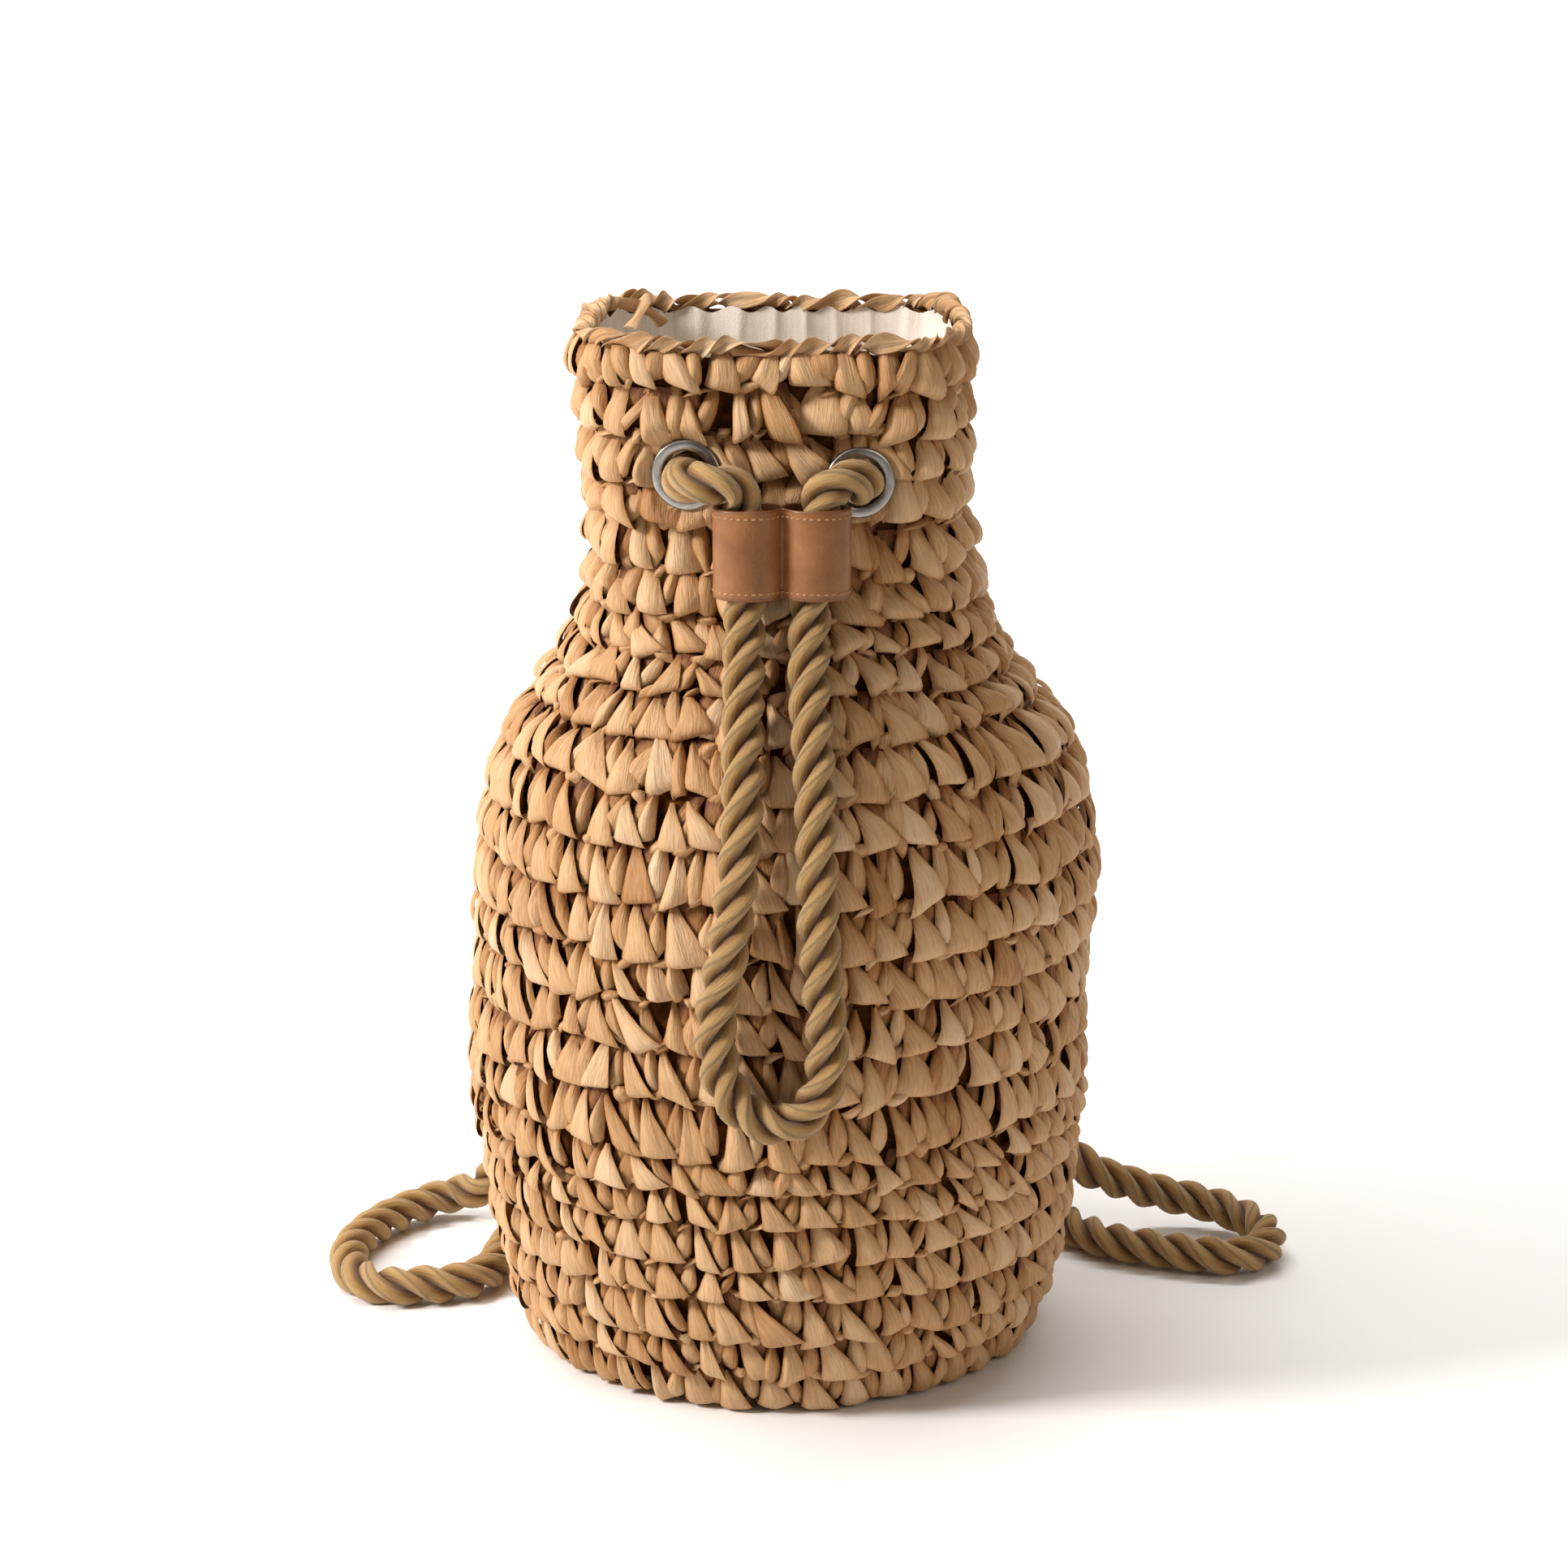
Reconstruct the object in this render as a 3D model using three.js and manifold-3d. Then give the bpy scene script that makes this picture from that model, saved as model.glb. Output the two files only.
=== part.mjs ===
// A backpack crocheted from straw: a squarish neck on a round bag, a cotton lining, eyelets,
// a thick laid rope that makes the front loop and both shoulder straps, and a leather slider.
// Millimetres, +Z up. The origin is the middle of the base, on the floor. The front faces -Y.

import * as THREE from 'three';
import { mergeVertices } from 'three/addons/utils/BufferGeometryUtils.js';
import Module from 'manifold-3d';

const wasm = await Module();
wasm.setup();

// Driving dimensions

const bagHeight = 375;
const bagWidth = 232;
const bagDepth = 230;

const strawWall = 6;
const roundCount = 24;
const roundGroove = 2.2;
const bulgePlace = 0.4;
const floorCorner = 0.012;
const shoulderRound = 13;
const neckRound = 18;

const liningThickness = 1.2;
const liningClearance = 0.5;
const liningDrop = 5;
const gatherCount = 16;
const gatherDepth = 1.5;
const gatherReach = 34;

const ropeDiameter = 15;
const ropeSides = 8;

const eyeletOuterDiameter = 24.5;
const eyeletBoreDiameter = 17;
const eyeletTubeWall = 1;
const eyeletFlangeThickness = 1.8;
const eyeletSink = 1;
const eyeletInnerRoom = 2.4;
const eyeletLip = 0.6;

const sliderHeight = 31;
const sliderCentreHeight = 307.5;
const sliderCentreAcross = 0.2;
const sliderWall = 2;
const sliderRopeClearance = 0.9;
const sliderChannelPitch = 23.6;
const sliderChannelWidth = 19.6;
const sliderSeamThickness = 4.5;

const knotDiameter = 34;
const knotLength = 30;

const clearance = 0.3;
const wellOutside = 20;

// Mesh fineness

const columns = gatherCount * 2;
const innerRings = 10;
const eyeletSides = 12;
const eyeletProfileSteps = 2;
const sliderCurveSegments = 10;
const knotSides = 8;
const knotBands = 6;
const slopeStepAlong = 0.004;
const slopeStepAcross = 2;
const heightTries = 40;
const weldDistance = 0.0001;

// Colours, and how rough and metallic each stuff is

const looks = {
  straw: new THREE.MeshStandardMaterial({ color: 0xc99a63, roughness: 0.8, metalness: 0 }),
  lining: new THREE.MeshStandardMaterial({ color: 0xcfbfa9, roughness: 0.95, metalness: 0 }),
  rope: new THREE.MeshStandardMaterial({ color: 0xa98550, roughness: 0.9, metalness: 0 }),
  leather: new THREE.MeshStandardMaterial({ color: 0x9a6038, roughness: 0.5, metalness: 0 }),
  metal: new THREE.MeshStandardMaterial({ color: 0xc9c7c2, roughness: 0.35, metalness: 1 }),
};

// The bag's outline. Each row is one level: height is a share of bagHeight, halfWidth and shift
// (the level's middle, to the right) are shares of half the bagWidth, halfDepth is a share of half
// the bagDepth, and squareness is the level's corner power: 2 is an ellipse, more is squarer.

const outline = [
  { height: 0, halfWidth: 0.776, halfDepth: 0.783, squareness: 2, shift: 0 },
  { height: 0.021, halfWidth: 0.845, halfDepth: 0.852, squareness: 2, shift: 0 },
  { height: 0.067, halfWidth: 0.892, halfDepth: 0.902, squareness: 2, shift: 0 },
  { height: 0.133, halfWidth: 0.935, halfDepth: 0.945, squareness: 2, shift: 0 },
  { height: 0.195, halfWidth: 0.962, halfDepth: 0.972, squareness: 2, shift: -0.005 },
  { height: 0.255, halfWidth: 0.987, halfDepth: 0.991, squareness: 2, shift: -0.013 },
  { height: 0.333, halfWidth: 0.984, halfDepth: 0.993, squareness: 2, shift: -0.008 },
  { height: 0.4, halfWidth: 0.975, halfDepth: 0.987, squareness: 2, shift: 0.004 },
  { height: 0.459, halfWidth: 0.988, halfDepth: 0.999, squareness: 2, shift: 0.012 },
  { height: 0.499, halfWidth: 0.984, halfDepth: 0.992, squareness: 2, shift: 0.016 },
  { height: 0.547, halfWidth: 0.96, halfDepth: 0.961, squareness: 2, shift: 0.02 },
  { height: 0.595, halfWidth: 0.925, halfDepth: 0.922, squareness: 2.05, shift: 0.017 },
  { height: 0.627, halfWidth: 0.868, halfDepth: 0.861, squareness: 2.1, shift: 0.014 },
  { height: 0.659, halfWidth: 0.777, halfDepth: 0.77, squareness: 2.15, shift: 0.008 },
  { height: 0.691, halfWidth: 0.707, halfDepth: 0.696, squareness: 2.2, shift: 0.007 },
  { height: 0.723, halfWidth: 0.661, halfDepth: 0.635, squareness: 2.3, shift: 0.008 },
  { height: 0.755, halfWidth: 0.626, halfDepth: 0.596, squareness: 2.4, shift: 0.004 },
  { height: 0.8, halfWidth: 0.601, halfDepth: 0.563, squareness: 2.55, shift: -0.004 },
  { height: 0.867, halfWidth: 0.6, halfDepth: 0.557, squareness: 2.7, shift: -0.019 },
  { height: 0.92, halfWidth: 0.609, halfDepth: 0.561, squareness: 2.8, shift: -0.022 },
  { height: 0.96, halfWidth: 0.616, halfDepth: 0.561, squareness: 2.9, shift: -0.026 },
  { height: 1, halfWidth: 0.597, halfDepth: 0.541, squareness: 3, shift: -0.022 },
];

// The rim isn't level. Each row is one place round it: turn is in degrees from the right hand side
// by way of the back, and lift is a share of bagHeight.

const rimLifts = [
  { turn: 0, lift: 0.001 },
  { turn: 90, lift: -0.002 },
  { turn: 150, lift: 0.001 },
  { turn: 225, lift: 0.009 },
  { turn: 268, lift: -0.007 },
  { turn: 315, lift: 0.005 },
];
const rimLiftReach = 0.12;

// The eyelets. across is a share of half the bagWidth, height is a share of bagHeight, and side is
// -1 in front and 1 behind.

const eyeletPlaces = [
  { name: 'eyelet_front_left', across: -0.28, height: 0.883, side: -1 },
  { name: 'eyelet_front_right', across: 0.231, height: 0.876, side: -1 },
  { name: 'eyelet_back_left', across: -0.25, height: 0.88, side: 1 },
  { name: 'eyelet_back_right', across: 0.23, height: 0.88, side: 1 },
  { name: 'eyelet_base_left', across: -0.47, height: 0.1, side: 1 },
  { name: 'eyelet_base_right', across: 0.47, height: 0.1, side: 1 },
];

// The outline as a smooth curve. Each table column is read at any place along the wall, from 0 at
// the floor to 1 at the rim, measured over the wall.

function smoothBetween(rows, places, column, place) {
  let row = 0;
  while (row < rows.length - 2 && places[row + 1] < place) row += 1;
  const slopeAt = (index) => {
    const before = Math.max(index - 1, 0);
    const after = Math.min(index + 1, rows.length - 1);
    return (rows[after][column] - rows[before][column]) / (places[after] - places[before]);
  };
  const span = places[row + 1] - places[row];
  const t = (place - places[row]) / span;
  const startWeight = 2 * t ** 3 - 3 * t ** 2 + 1;
  const startSlopeWeight = t ** 3 - 2 * t ** 2 + t;
  const endWeight = 3 * t ** 2 - 2 * t ** 3;
  const endSlopeWeight = t ** 3 - t ** 2;
  return startWeight * rows[row][column] + startSlopeWeight * span * slopeAt(row)
    + endWeight * rows[row + 1][column] + endSlopeWeight * span * slopeAt(row + 1);
}

const levels = outline.map((row) => ({
  height: row.height * bagHeight,
  halfWidth: row.halfWidth * bagWidth / 2,
  halfDepth: row.halfDepth * bagDepth / 2,
  squareness: row.squareness,
  shift: row.shift * bagWidth / 2,
}));

const levelPlaces = [0];
for (let index = 1; index < levels.length; index += 1) {
  const rise = levels[index].height - levels[index - 1].height;
  const growth = levels[index].halfWidth - levels[index - 1].halfWidth;
  levelPlaces.push(levelPlaces[index - 1] + Math.hypot(rise, growth));
}
const wallLength = levelPlaces[levelPlaces.length - 1];
levelPlaces.forEach((place, index) => { levelPlaces[index] = place / wallLength; });

function levelAt(place) {
  const level = {};
  for (const column of ['height', 'halfWidth', 'halfDepth', 'squareness', 'shift']) {
    level[column] = smoothBetween(levels, levelPlaces, column, place);
  }
  return level;
}

// A level moved inwards by a depth, square to the wall.
function insetLevel(place, depth) {
  const level = levelAt(place);
  const lower = levelAt(Math.max(place - slopeStepAlong, 0));
  const upper = levelAt(Math.min(place + slopeStepAlong, 1));
  const rise = upper.height - lower.height;
  const growth = upper.halfWidth - lower.halfWidth;
  const length = Math.hypot(rise, growth);
  level.halfWidth -= depth * rise / length;
  level.halfDepth -= depth * rise / length;
  level.height += depth * growth / length;
  return level;
}

// The rim's rise or dip at one turn, eased to nothing below the neck's top.
function rimLiftAt(turn, height) {
  const degrees = THREE.MathUtils.radToDeg(turn);
  let row = rimLifts.length - 1;
  while (rimLifts[row].turn > degrees) row -= 1;
  const next = rimLifts[(row + 1) % rimLifts.length];
  const span = (next.turn - rimLifts[row].turn + 360) % 360;
  const t = (degrees - rimLifts[row].turn) / span;
  const ease = t * t * (3 - 2 * t);
  const lift = THREE.MathUtils.lerp(rimLifts[row].lift, next.lift, ease);
  const nearRim = THREE.MathUtils.smoothstep(height / bagHeight, 1 - rimLiftReach, 1);
  return lift * nearRim * bagHeight;
}

// A level's closed ring of points. wave gives each point's extra push outwards.
function levelRing(level, count, wave = () => 0) {
  const points = [];
  for (let column = 0; column < count; column += 1) {
    const turn = column / count * 2 * Math.PI;
    const power = 2 / level.squareness;
    const push = wave(turn);
    const across = Math.sign(Math.cos(turn)) * Math.abs(Math.cos(turn)) ** power;
    const along = Math.sign(Math.sin(turn)) * Math.abs(Math.sin(turn)) ** power;
    points.push(new THREE.Vector3(
      level.shift + (level.halfWidth + push) * across,
      (level.halfDepth + push) * along,
      level.height + rimLiftAt(turn, level.height),
    ));
  }
  return points;
}

// A closed skin over a row of rings, with a point at the middle of its first and last ring.
function skinOver(rings) {
  const count = rings[0].length;
  const corners = [];
  const triangles = [];
  const middleOf = (ring) => {
    const middle = new THREE.Vector3();
    ring.forEach((point) => middle.add(point));
    return middle.divideScalar(count);
  };
  rings.forEach((ring) => ring.forEach((point) => corners.push(...point)));
  corners.push(...middleOf(rings[0]));
  corners.push(...middleOf(rings[rings.length - 1]));
  const firstMiddle = rings.length * count;
  const lastMiddle = firstMiddle + 1;
  const lastRing = (rings.length - 1) * count;
  for (let column = 0; column < count; column += 1) {
    const next = (column + 1) % count;
    triangles.push(firstMiddle, next, column);
    triangles.push(lastMiddle, lastRing + column, lastRing + next);
    for (let ring = 0; ring < rings.length - 1; ring += 1) {
      const low = ring * count;
      const high = low + count;
      triangles.push(low + column, low + next, high + next);
      triangles.push(low + column, high + next, high + column);
    }
  }
  const geometry = new THREE.BufferGeometry();
  geometry.setAttribute('position', new THREE.Float32BufferAttribute(corners, 3));
  geometry.setIndex(triangles);
  return geometry;
}

// Cutting one closed geometry out of another

function toSolid(geometry) {
  const bare = geometry.clone();
  bare.deleteAttribute('normal');
  bare.deleteAttribute('uv');
  const joined = mergeVertices(bare, weldDistance);
  return new wasm.Manifold(new wasm.Mesh({
    numProp: 3,
    vertProperties: new Float32Array(joined.attributes.position.array),
    triVerts: new Uint32Array(joined.index.array),
  }));
}

function toGeometry(solid) {
  const mesh = solid.getMesh();
  const geometry = new THREE.BufferGeometry();
  geometry.setAttribute('position', new THREE.Float32BufferAttribute(mesh.vertProperties, 3));
  geometry.setIndex([...mesh.triVerts]);
  return geometry;
}

function cutAway(geometry, cutters) {
  let solid = toSolid(geometry);
  for (const cutter of cutters) {
    solid = solid.subtract(toSolid(cutter));
  }
  return toGeometry(solid);
}

// The place and outward direction of each eyelet on the wall

function placeAtHeight(height) {
  let low = 0;
  let high = 1;
  for (let tries = 0; tries < heightTries; tries += 1) {
    const middle = (low + high) / 2;
    if (levelAt(middle).height < height) low = middle;
    else high = middle;
  }
  return low;
}

function wallPoint(across, height, side) {
  const level = levelAt(placeAtHeight(height));
  const share = Math.abs((across - level.shift) / level.halfWidth);
  const depth = level.halfDepth * (1 - share ** level.squareness) ** (1 / level.squareness);
  return new THREE.Vector3(across, side * depth, height);
}

function eyeletFrame({ across, height, side }) {
  const x = across * bagWidth / 2;
  const z = height * bagHeight;
  const step = slopeStepAcross;
  const centre = wallPoint(x, z, side);
  const sideways = wallPoint(x + step, z, side).sub(wallPoint(x - step, z, side));
  const upwards = wallPoint(x, z + step, side).sub(wallPoint(x, z - step, side));
  const outward = sideways.cross(upwards).normalize().multiplyScalar(-side);
  const frame = new THREE.Matrix4();
  const turn = new THREE.Quaternion().setFromUnitVectors(new THREE.Vector3(0, 1, 0), outward);
  return frame.compose(centre, turn, new THREE.Vector3(1, 1, 1));
}

// A round cutter along an eyelet's axis, between two distances out of the wall
function eyeletCutter(frame, diameter, from, to) {
  const cutter = new THREE.CylinderGeometry(diameter / 2, diameter / 2, to - from, eyeletSides);
  cutter.translate(0, (from + to) / 2, 0);
  return cutter.applyMatrix4(frame);
}

const eyeletTubeDiameter = eyeletBoreDiameter + 2 * eyeletTubeWall;
const eyeletInnerSeat = strawWall + liningClearance + liningThickness + eyeletInnerRoom;

// The hole for an eyelet's tube
function tubeCutter(frame) {
  const diameter = eyeletTubeDiameter + 2 * clearance;
  return eyeletCutter(frame, diameter, -(eyeletInnerSeat + wellOutside), wellOutside);
}

// The seat that an eyelet's outer flange presses into the straw
function flangeCutter(frame) {
  const diameter = eyeletOuterDiameter + 2 * clearance;
  return eyeletCutter(frame, diameter, -(eyeletSink + clearance), wellOutside);
}

// The places of the inner rings, which the straw and the lining share, so that they stay parallel.
// The first is where the flat floor meets the wall, and the last is the lining's top edge.
function innerPlaces() {
  const places = [];
  const top = placeAtHeight(bagHeight - liningDrop);
  for (let step = 0; step <= innerRings; step += 1) {
    places.push(THREE.MathUtils.lerp(floorCorner, top, step / innerRings));
  }
  return places;
}

// The crocheted bag: an outer skin with a groove above each round and a bulge low in it, and a
// plain inner skin. The base, body, shoulder and neck meet at grooves between two rounds, and the
// base is a disc as thick as the floor.

function makeStraw(frames) {
  const rings = [levelRing(levelAt(0), columns)];
  for (let round = 0; round < roundCount; round += 1) {
    const bulge = (round + bulgePlace) / roundCount;
    const groove = (round + 1) / roundCount;
    rings.push(levelRing(levelAt(bulge), columns));
    rings.push(levelRing(insetLevel(groove, roundGroove), columns));
  }
  rings.push(levelRing(insetLevel(1, strawWall), columns));
  for (const place of innerPlaces().reverse()) {
    rings.push(levelRing(insetLevel(place, strawWall), columns));
  }
  return cutAway(skinOver(rings), [...frames.map(tubeCutter), ...frames.map(flangeCutter)]);
}

function strawParts(frames) {
  const straw = toSolid(makeStraw(frames));
  const grooveHeight = (round) => insetLevel(round / roundCount, roundGroove).height;
  const floorTop = insetLevel(floorCorner, strawWall).height;
  const heights = [-clearance, floorTop, grooveHeight(shoulderRound), grooveHeight(neckRound),
    bagHeight + wellOutside];
  return ['straw_base', 'straw_body', 'straw_shoulder', 'straw_neck'].map((name, index) => {
    const above = straw.trimByPlane([0, 0, 1], heights[index] + clearance / 2);
    const between = above.trimByPlane([0, 0, -1], -(heights[index + 1] - clearance / 2));
    return { name, geometry: toGeometry(between) };
  });
}

// The lining: a thin pouch inside the straw, gathered into folds towards the mouth

function liningSkin(depth) {
  const topHeight = bagHeight - liningDrop;
  return innerPlaces().map((place) => {
    const level = insetLevel(place, depth);
    const fold = gatherDepth * (1 - THREE.MathUtils.smoothstep(topHeight - level.height, 0, gatherReach));
    const wave = (turn) => -fold * (1 - Math.cos(gatherCount * turn)) / 2;
    return levelRing(level, columns, wave);
  });
}

function makeLining(frames) {
  const outerDepth = strawWall + liningClearance;
  const innerDepth = outerDepth + liningThickness;
  const outer = liningSkin(outerDepth);
  const inner = liningSkin(innerDepth).reverse();
  return cutAway(skinOver([...outer, ...inner]), frames.map(tubeCutter));
}

// An eyelet: a tube through the wall with a rolled flange outside and a flat one inside

function makeEyelet(frame) {
  const bore = eyeletBoreDiameter / 2;
  const tube = eyeletTubeDiameter / 2;
  const flange = eyeletOuterDiameter / 2;
  const back = -eyeletSink;
  const innerBack = -eyeletInnerSeat;
  const innerFront = innerBack - eyeletTubeWall;
  const profile = [
    new THREE.Vector2(bore, innerFront),
    new THREE.Vector2(flange, innerFront),
    new THREE.Vector2(flange, innerBack),
    new THREE.Vector2(tube, innerBack),
    new THREE.Vector2(tube, back),
    new THREE.Vector2(flange, back),
  ];
  const middle = (bore + flange) / 2;
  for (let step = 0; step <= eyeletProfileSteps; step += 1) {
    const turn = step / eyeletProfileSteps * Math.PI;
    const rise = eyeletLip + (eyeletFlangeThickness - eyeletLip) * Math.sin(turn);
    profile.push(new THREE.Vector2(middle + (flange - middle) * Math.cos(turn), back + rise));
  }
  profile.push(profile[0].clone());
  return new THREE.LatheGeometry(profile, eyeletSides).applyMatrix4(frame);
}

// The slider: an upright leather sleeve, pinched along its seam between the two channels. It lies
// on the neck's front, and each channel is as deep as the rope and somewhat wider.

function makeSlider() {
  const channel = { across: sliderChannelWidth / 2, deep: ropeDiameter / 2 + sliderRopeClearance };
  const outer = { across: channel.across + sliderWall, deep: channel.deep + sliderWall };
  const half = sliderChannelPitch / 2;
  const seamTurn = Math.asin(sliderSeamThickness / 2 / outer.deep);
  const shape = new THREE.Shape();
  shape.absellipse(half, 0, outer.across, outer.deep, -Math.PI + seamTurn, Math.PI - seamTurn, false);
  shape.absellipse(-half, 0, outer.across, outer.deep, seamTurn, 2 * Math.PI - seamTurn, false);
  for (const side of [-1, 1]) {
    const hole = new THREE.Path();
    hole.absellipse(side * half, 0, channel.across, channel.deep, 0, 2 * Math.PI, true);
    shape.holes.push(hole);
  }
  const sleeve = new THREE.ExtrudeGeometry(shape, {
    depth: sliderHeight,
    bevelEnabled: false,
    curveSegments: sliderCurveSegments,
  });
  const bottom = sliderCentreHeight - sliderHeight / 2;
  const neckFront = levelAt(placeAtHeight(bottom)).halfDepth;
  sleeve.translate(sliderCentreAcross, -(neckFront + clearance + outer.deep), bottom);
  return toGeometry(toSolid(sleeve));
}

// The rope. Its points are chosen by hand, in millimetres, from one end to the other.

const ropeRoutes = {
  drawstring: [
    [-31.6, -57.8, 331.3],
    [-33.6, -67.5, 330.9],
    [-31.5, -75.4, 331.2],
    [-26.7, -79.3, 331.5],
    [-20.4, -80.2, 331.3],
    [-15, -78.3, 328.5],
    [-12.8, -76.9, 323],
    [-13.1, -76.9, 314],
    [-12.4, -76.9, 291],
    [-12.6, -80.3, 278],
    [-12.8, -89.5, 262.5],
    [-13, -99, 249.5],
    [-13.1, -113.8, 227],
    [-15, -120.2, 203],
    [-18.2, -121.6, 179],
    [-22.3, -120.6, 153],
    [-19.2, -120.9, 132],
    [-9.5, -122.2, 120.8],
    [2.5, -122.4, 119],
    [12, -121.8, 126.8],
    [15.4, -121.4, 142],
    [13.8, -122.1, 168],
    [12.4, -122.2, 191],
    [11.8, -116.7, 217],
    [10.8, -104.2, 242],
    [9.6, -91, 260.5],
    [9.4, -80.5, 278],
    [10.2, -76.9, 291],
    [13.1, -76.9, 314],
    [12.7, -76.9, 322],
    [15, -77.4, 328],
    [19.4, -76.7, 331],
    [23.9, -74.4, 331.4],
    [26.9, -70.6, 330.1],
    [27.6, -65.5, 328.6],
    [25.9, -57.9, 328.6],
  ],
  strap_left: [
    [-31.4, -57.3, 331.3],
    [-29.6, -49.5, 331.6],
    [-30.6, -43.2, 331.6],
    [-34.6, -38.9, 331],
    [-40.5, -36.8, 330],
    [-48, -32, 327.5],
    [-53.5, -19, 324.5],
    [-55.5, -1, 322.5],
    [-53.5, 18, 323.5],
    [-47.5, 31, 326],
    [-38.5, 37.5, 328.5],
    [-31.5, 39.8, 329.8],
    [-27.6, 43.7, 330.3],
    [-26.8, 50, 330.3],
    [-29.1, 62.4, 330],
    [-31.6, 78, 327],
    [-33.6, 88, 317],
    [-36, 91.5, 290],
    [-40, 99, 256],
    [-46, 109.5, 220],
    [-55, 114.5, 178],
    [-70, 114.5, 126],
    [-83, 113, 89],
    [-98, 107, 53],
    [-110, 99.5, 27],
    [-119.5, 97, 14.5],
    [-131.5, 100.5, 10],
    [-144, 94, 8],
    [-155.6, 80, 7.6],
    [-164.5, 60, 7.6],
    [-167.5, 39, 7.6],
    [-161.7, 17, 7.6],
    [-150, 8, 7.6],
    [-136, 9, 7.6],
    [-121, 13, 7.6],
    [-111.5, 25, 7.6],
    [-107, 50, 7.6],
    [-99, 73, 8.5],
    [-86, 91, 16],
    [-71, 101.5, 28],
    [-59.3, 99.2, 35.5],
    [-54.5, 91.3, 37.5],
    [-48.9, 82, 39.6],
  ],
  strap_right: [
    [25.7, -57.4, 328.6],
    [24.2, -50, 328.8],
    [25, -43.6, 328.8],
    [28.8, -39.3, 328.4],
    [34.6, -37.2, 327.7],
    [43, -32.5, 325.5],
    [48.8, -19.5, 323.5],
    [50.8, 0, 322.5],
    [48.8, 18, 323.5],
    [43, 31, 326],
    [34.5, 37.8, 328.5],
    [28.3, 40, 329.8],
    [24.7, 44, 330.3],
    [24, 50, 330.3],
    [26.8, 62.3, 330],
    [29.8, 78, 327],
    [31.6, 88, 317],
    [33.5, 91.5, 290],
    [37.5, 99.5, 256],
    [43.5, 111, 220],
    [53, 117, 178],
    [68, 116.5, 126],
    [81, 111.5, 92],
    [94, 102, 62],
    [107, 90, 41],
    [121.5, 82, 27.5],
    [134.5, 85, 21],
    [148.5, 88, 15.5],
    [161, 87, 13],
    [173.4, 83, 11],
    [184, 75, 9],
    [190, 61, 7.7],
    [186.5, 46, 7.6],
    [175, 38.5, 7.6],
    [160, 41, 7.6],
    [144, 47, 7.6],
    [128, 55, 7.6],
    [113.5, 71, 7.8],
    [100, 89, 12],
    [83, 101, 21.5],
    [70, 104, 29.5],
    [59.4, 99.4, 35.5],
    [54.5, 91.4, 37.5],
    [48.9, 82, 39.7],
  ],
};

// A smooth curve whose steps follow the chosen points, so bends with close points are round.
class RopeCurve extends THREE.CatmullRomCurve3 {
  getUtoTmapping(place) {
    return place;
  }
}

function makeRope(points) {
  const curve = new RopeCurve(points.map((point) => new THREE.Vector3(...point)), false, 'centripetal');
  const corners = [];
  for (let side = 0; side < ropeSides; side += 1) {
    const turn = side / ropeSides * 2 * Math.PI;
    corners.push(new THREE.Vector2(Math.cos(turn), Math.sin(turn)).multiplyScalar(ropeDiameter / 2));
  }
  return new THREE.ExtrudeGeometry(new THREE.Shape(corners), {
    steps: points.length - 1,
    extrudePath: curve,
    bevelEnabled: false,
  });
}

// A stopper knot: a rounded lump at a strap's end, drawn up against its eyelet inside the bag
function makeKnot(frame) {
  const knot = new THREE.SphereGeometry(0.5, knotSides, knotBands);
  knot.scale(knotDiameter, knotLength, knotDiameter);
  const eyeletBack = eyeletInnerSeat + eyeletTubeWall;
  knot.translate(0, -(eyeletBack + clearance + knotLength / 2), 0);
  return knot.applyMatrix4(frame);
}

// The scene

const group = new THREE.Group();

function addPiece(name, geometry, look) {
  geometry.computeVertexNormals();
  const mesh = new THREE.Mesh(geometry, look.clone());
  mesh.name = name;
  group.add(mesh);
}

const eyeletFrames = eyeletPlaces.map(eyeletFrame);
strawParts(eyeletFrames).forEach(({ name, geometry }) => addPiece(name, geometry, looks.straw));
addPiece('lining', makeLining(eyeletFrames), looks.lining);
eyeletPlaces.forEach((place, index) => {
  addPiece(place.name, makeEyelet(eyeletFrames[index]), looks.metal);
});
addPiece('slider', makeSlider(), looks.leather);
for (const [name, points] of Object.entries(ropeRoutes)) {
  addPiece(name, makeRope(points), looks.rope);
}
const frameNamed = (name) => eyeletFrames[eyeletPlaces.findIndex((place) => place.name === name)];
addPiece('knot_left', makeKnot(frameNamed('eyelet_base_left')), looks.rope);
addPiece('knot_right', makeKnot(frameNamed('eyelet_base_right')), looks.rope);

export default group;
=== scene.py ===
# A backpack crocheted from straw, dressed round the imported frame: ribbon stitches in rounds, a
# chain round the rim, a gathered cotton lining, satin eyelets, a leather slider and a laid rope.
# Metres, +Z up. The front faces -Y.

import math

import bpy
import numpy as np
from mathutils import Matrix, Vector
from mathutils.bvhtree import BVHTree


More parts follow.
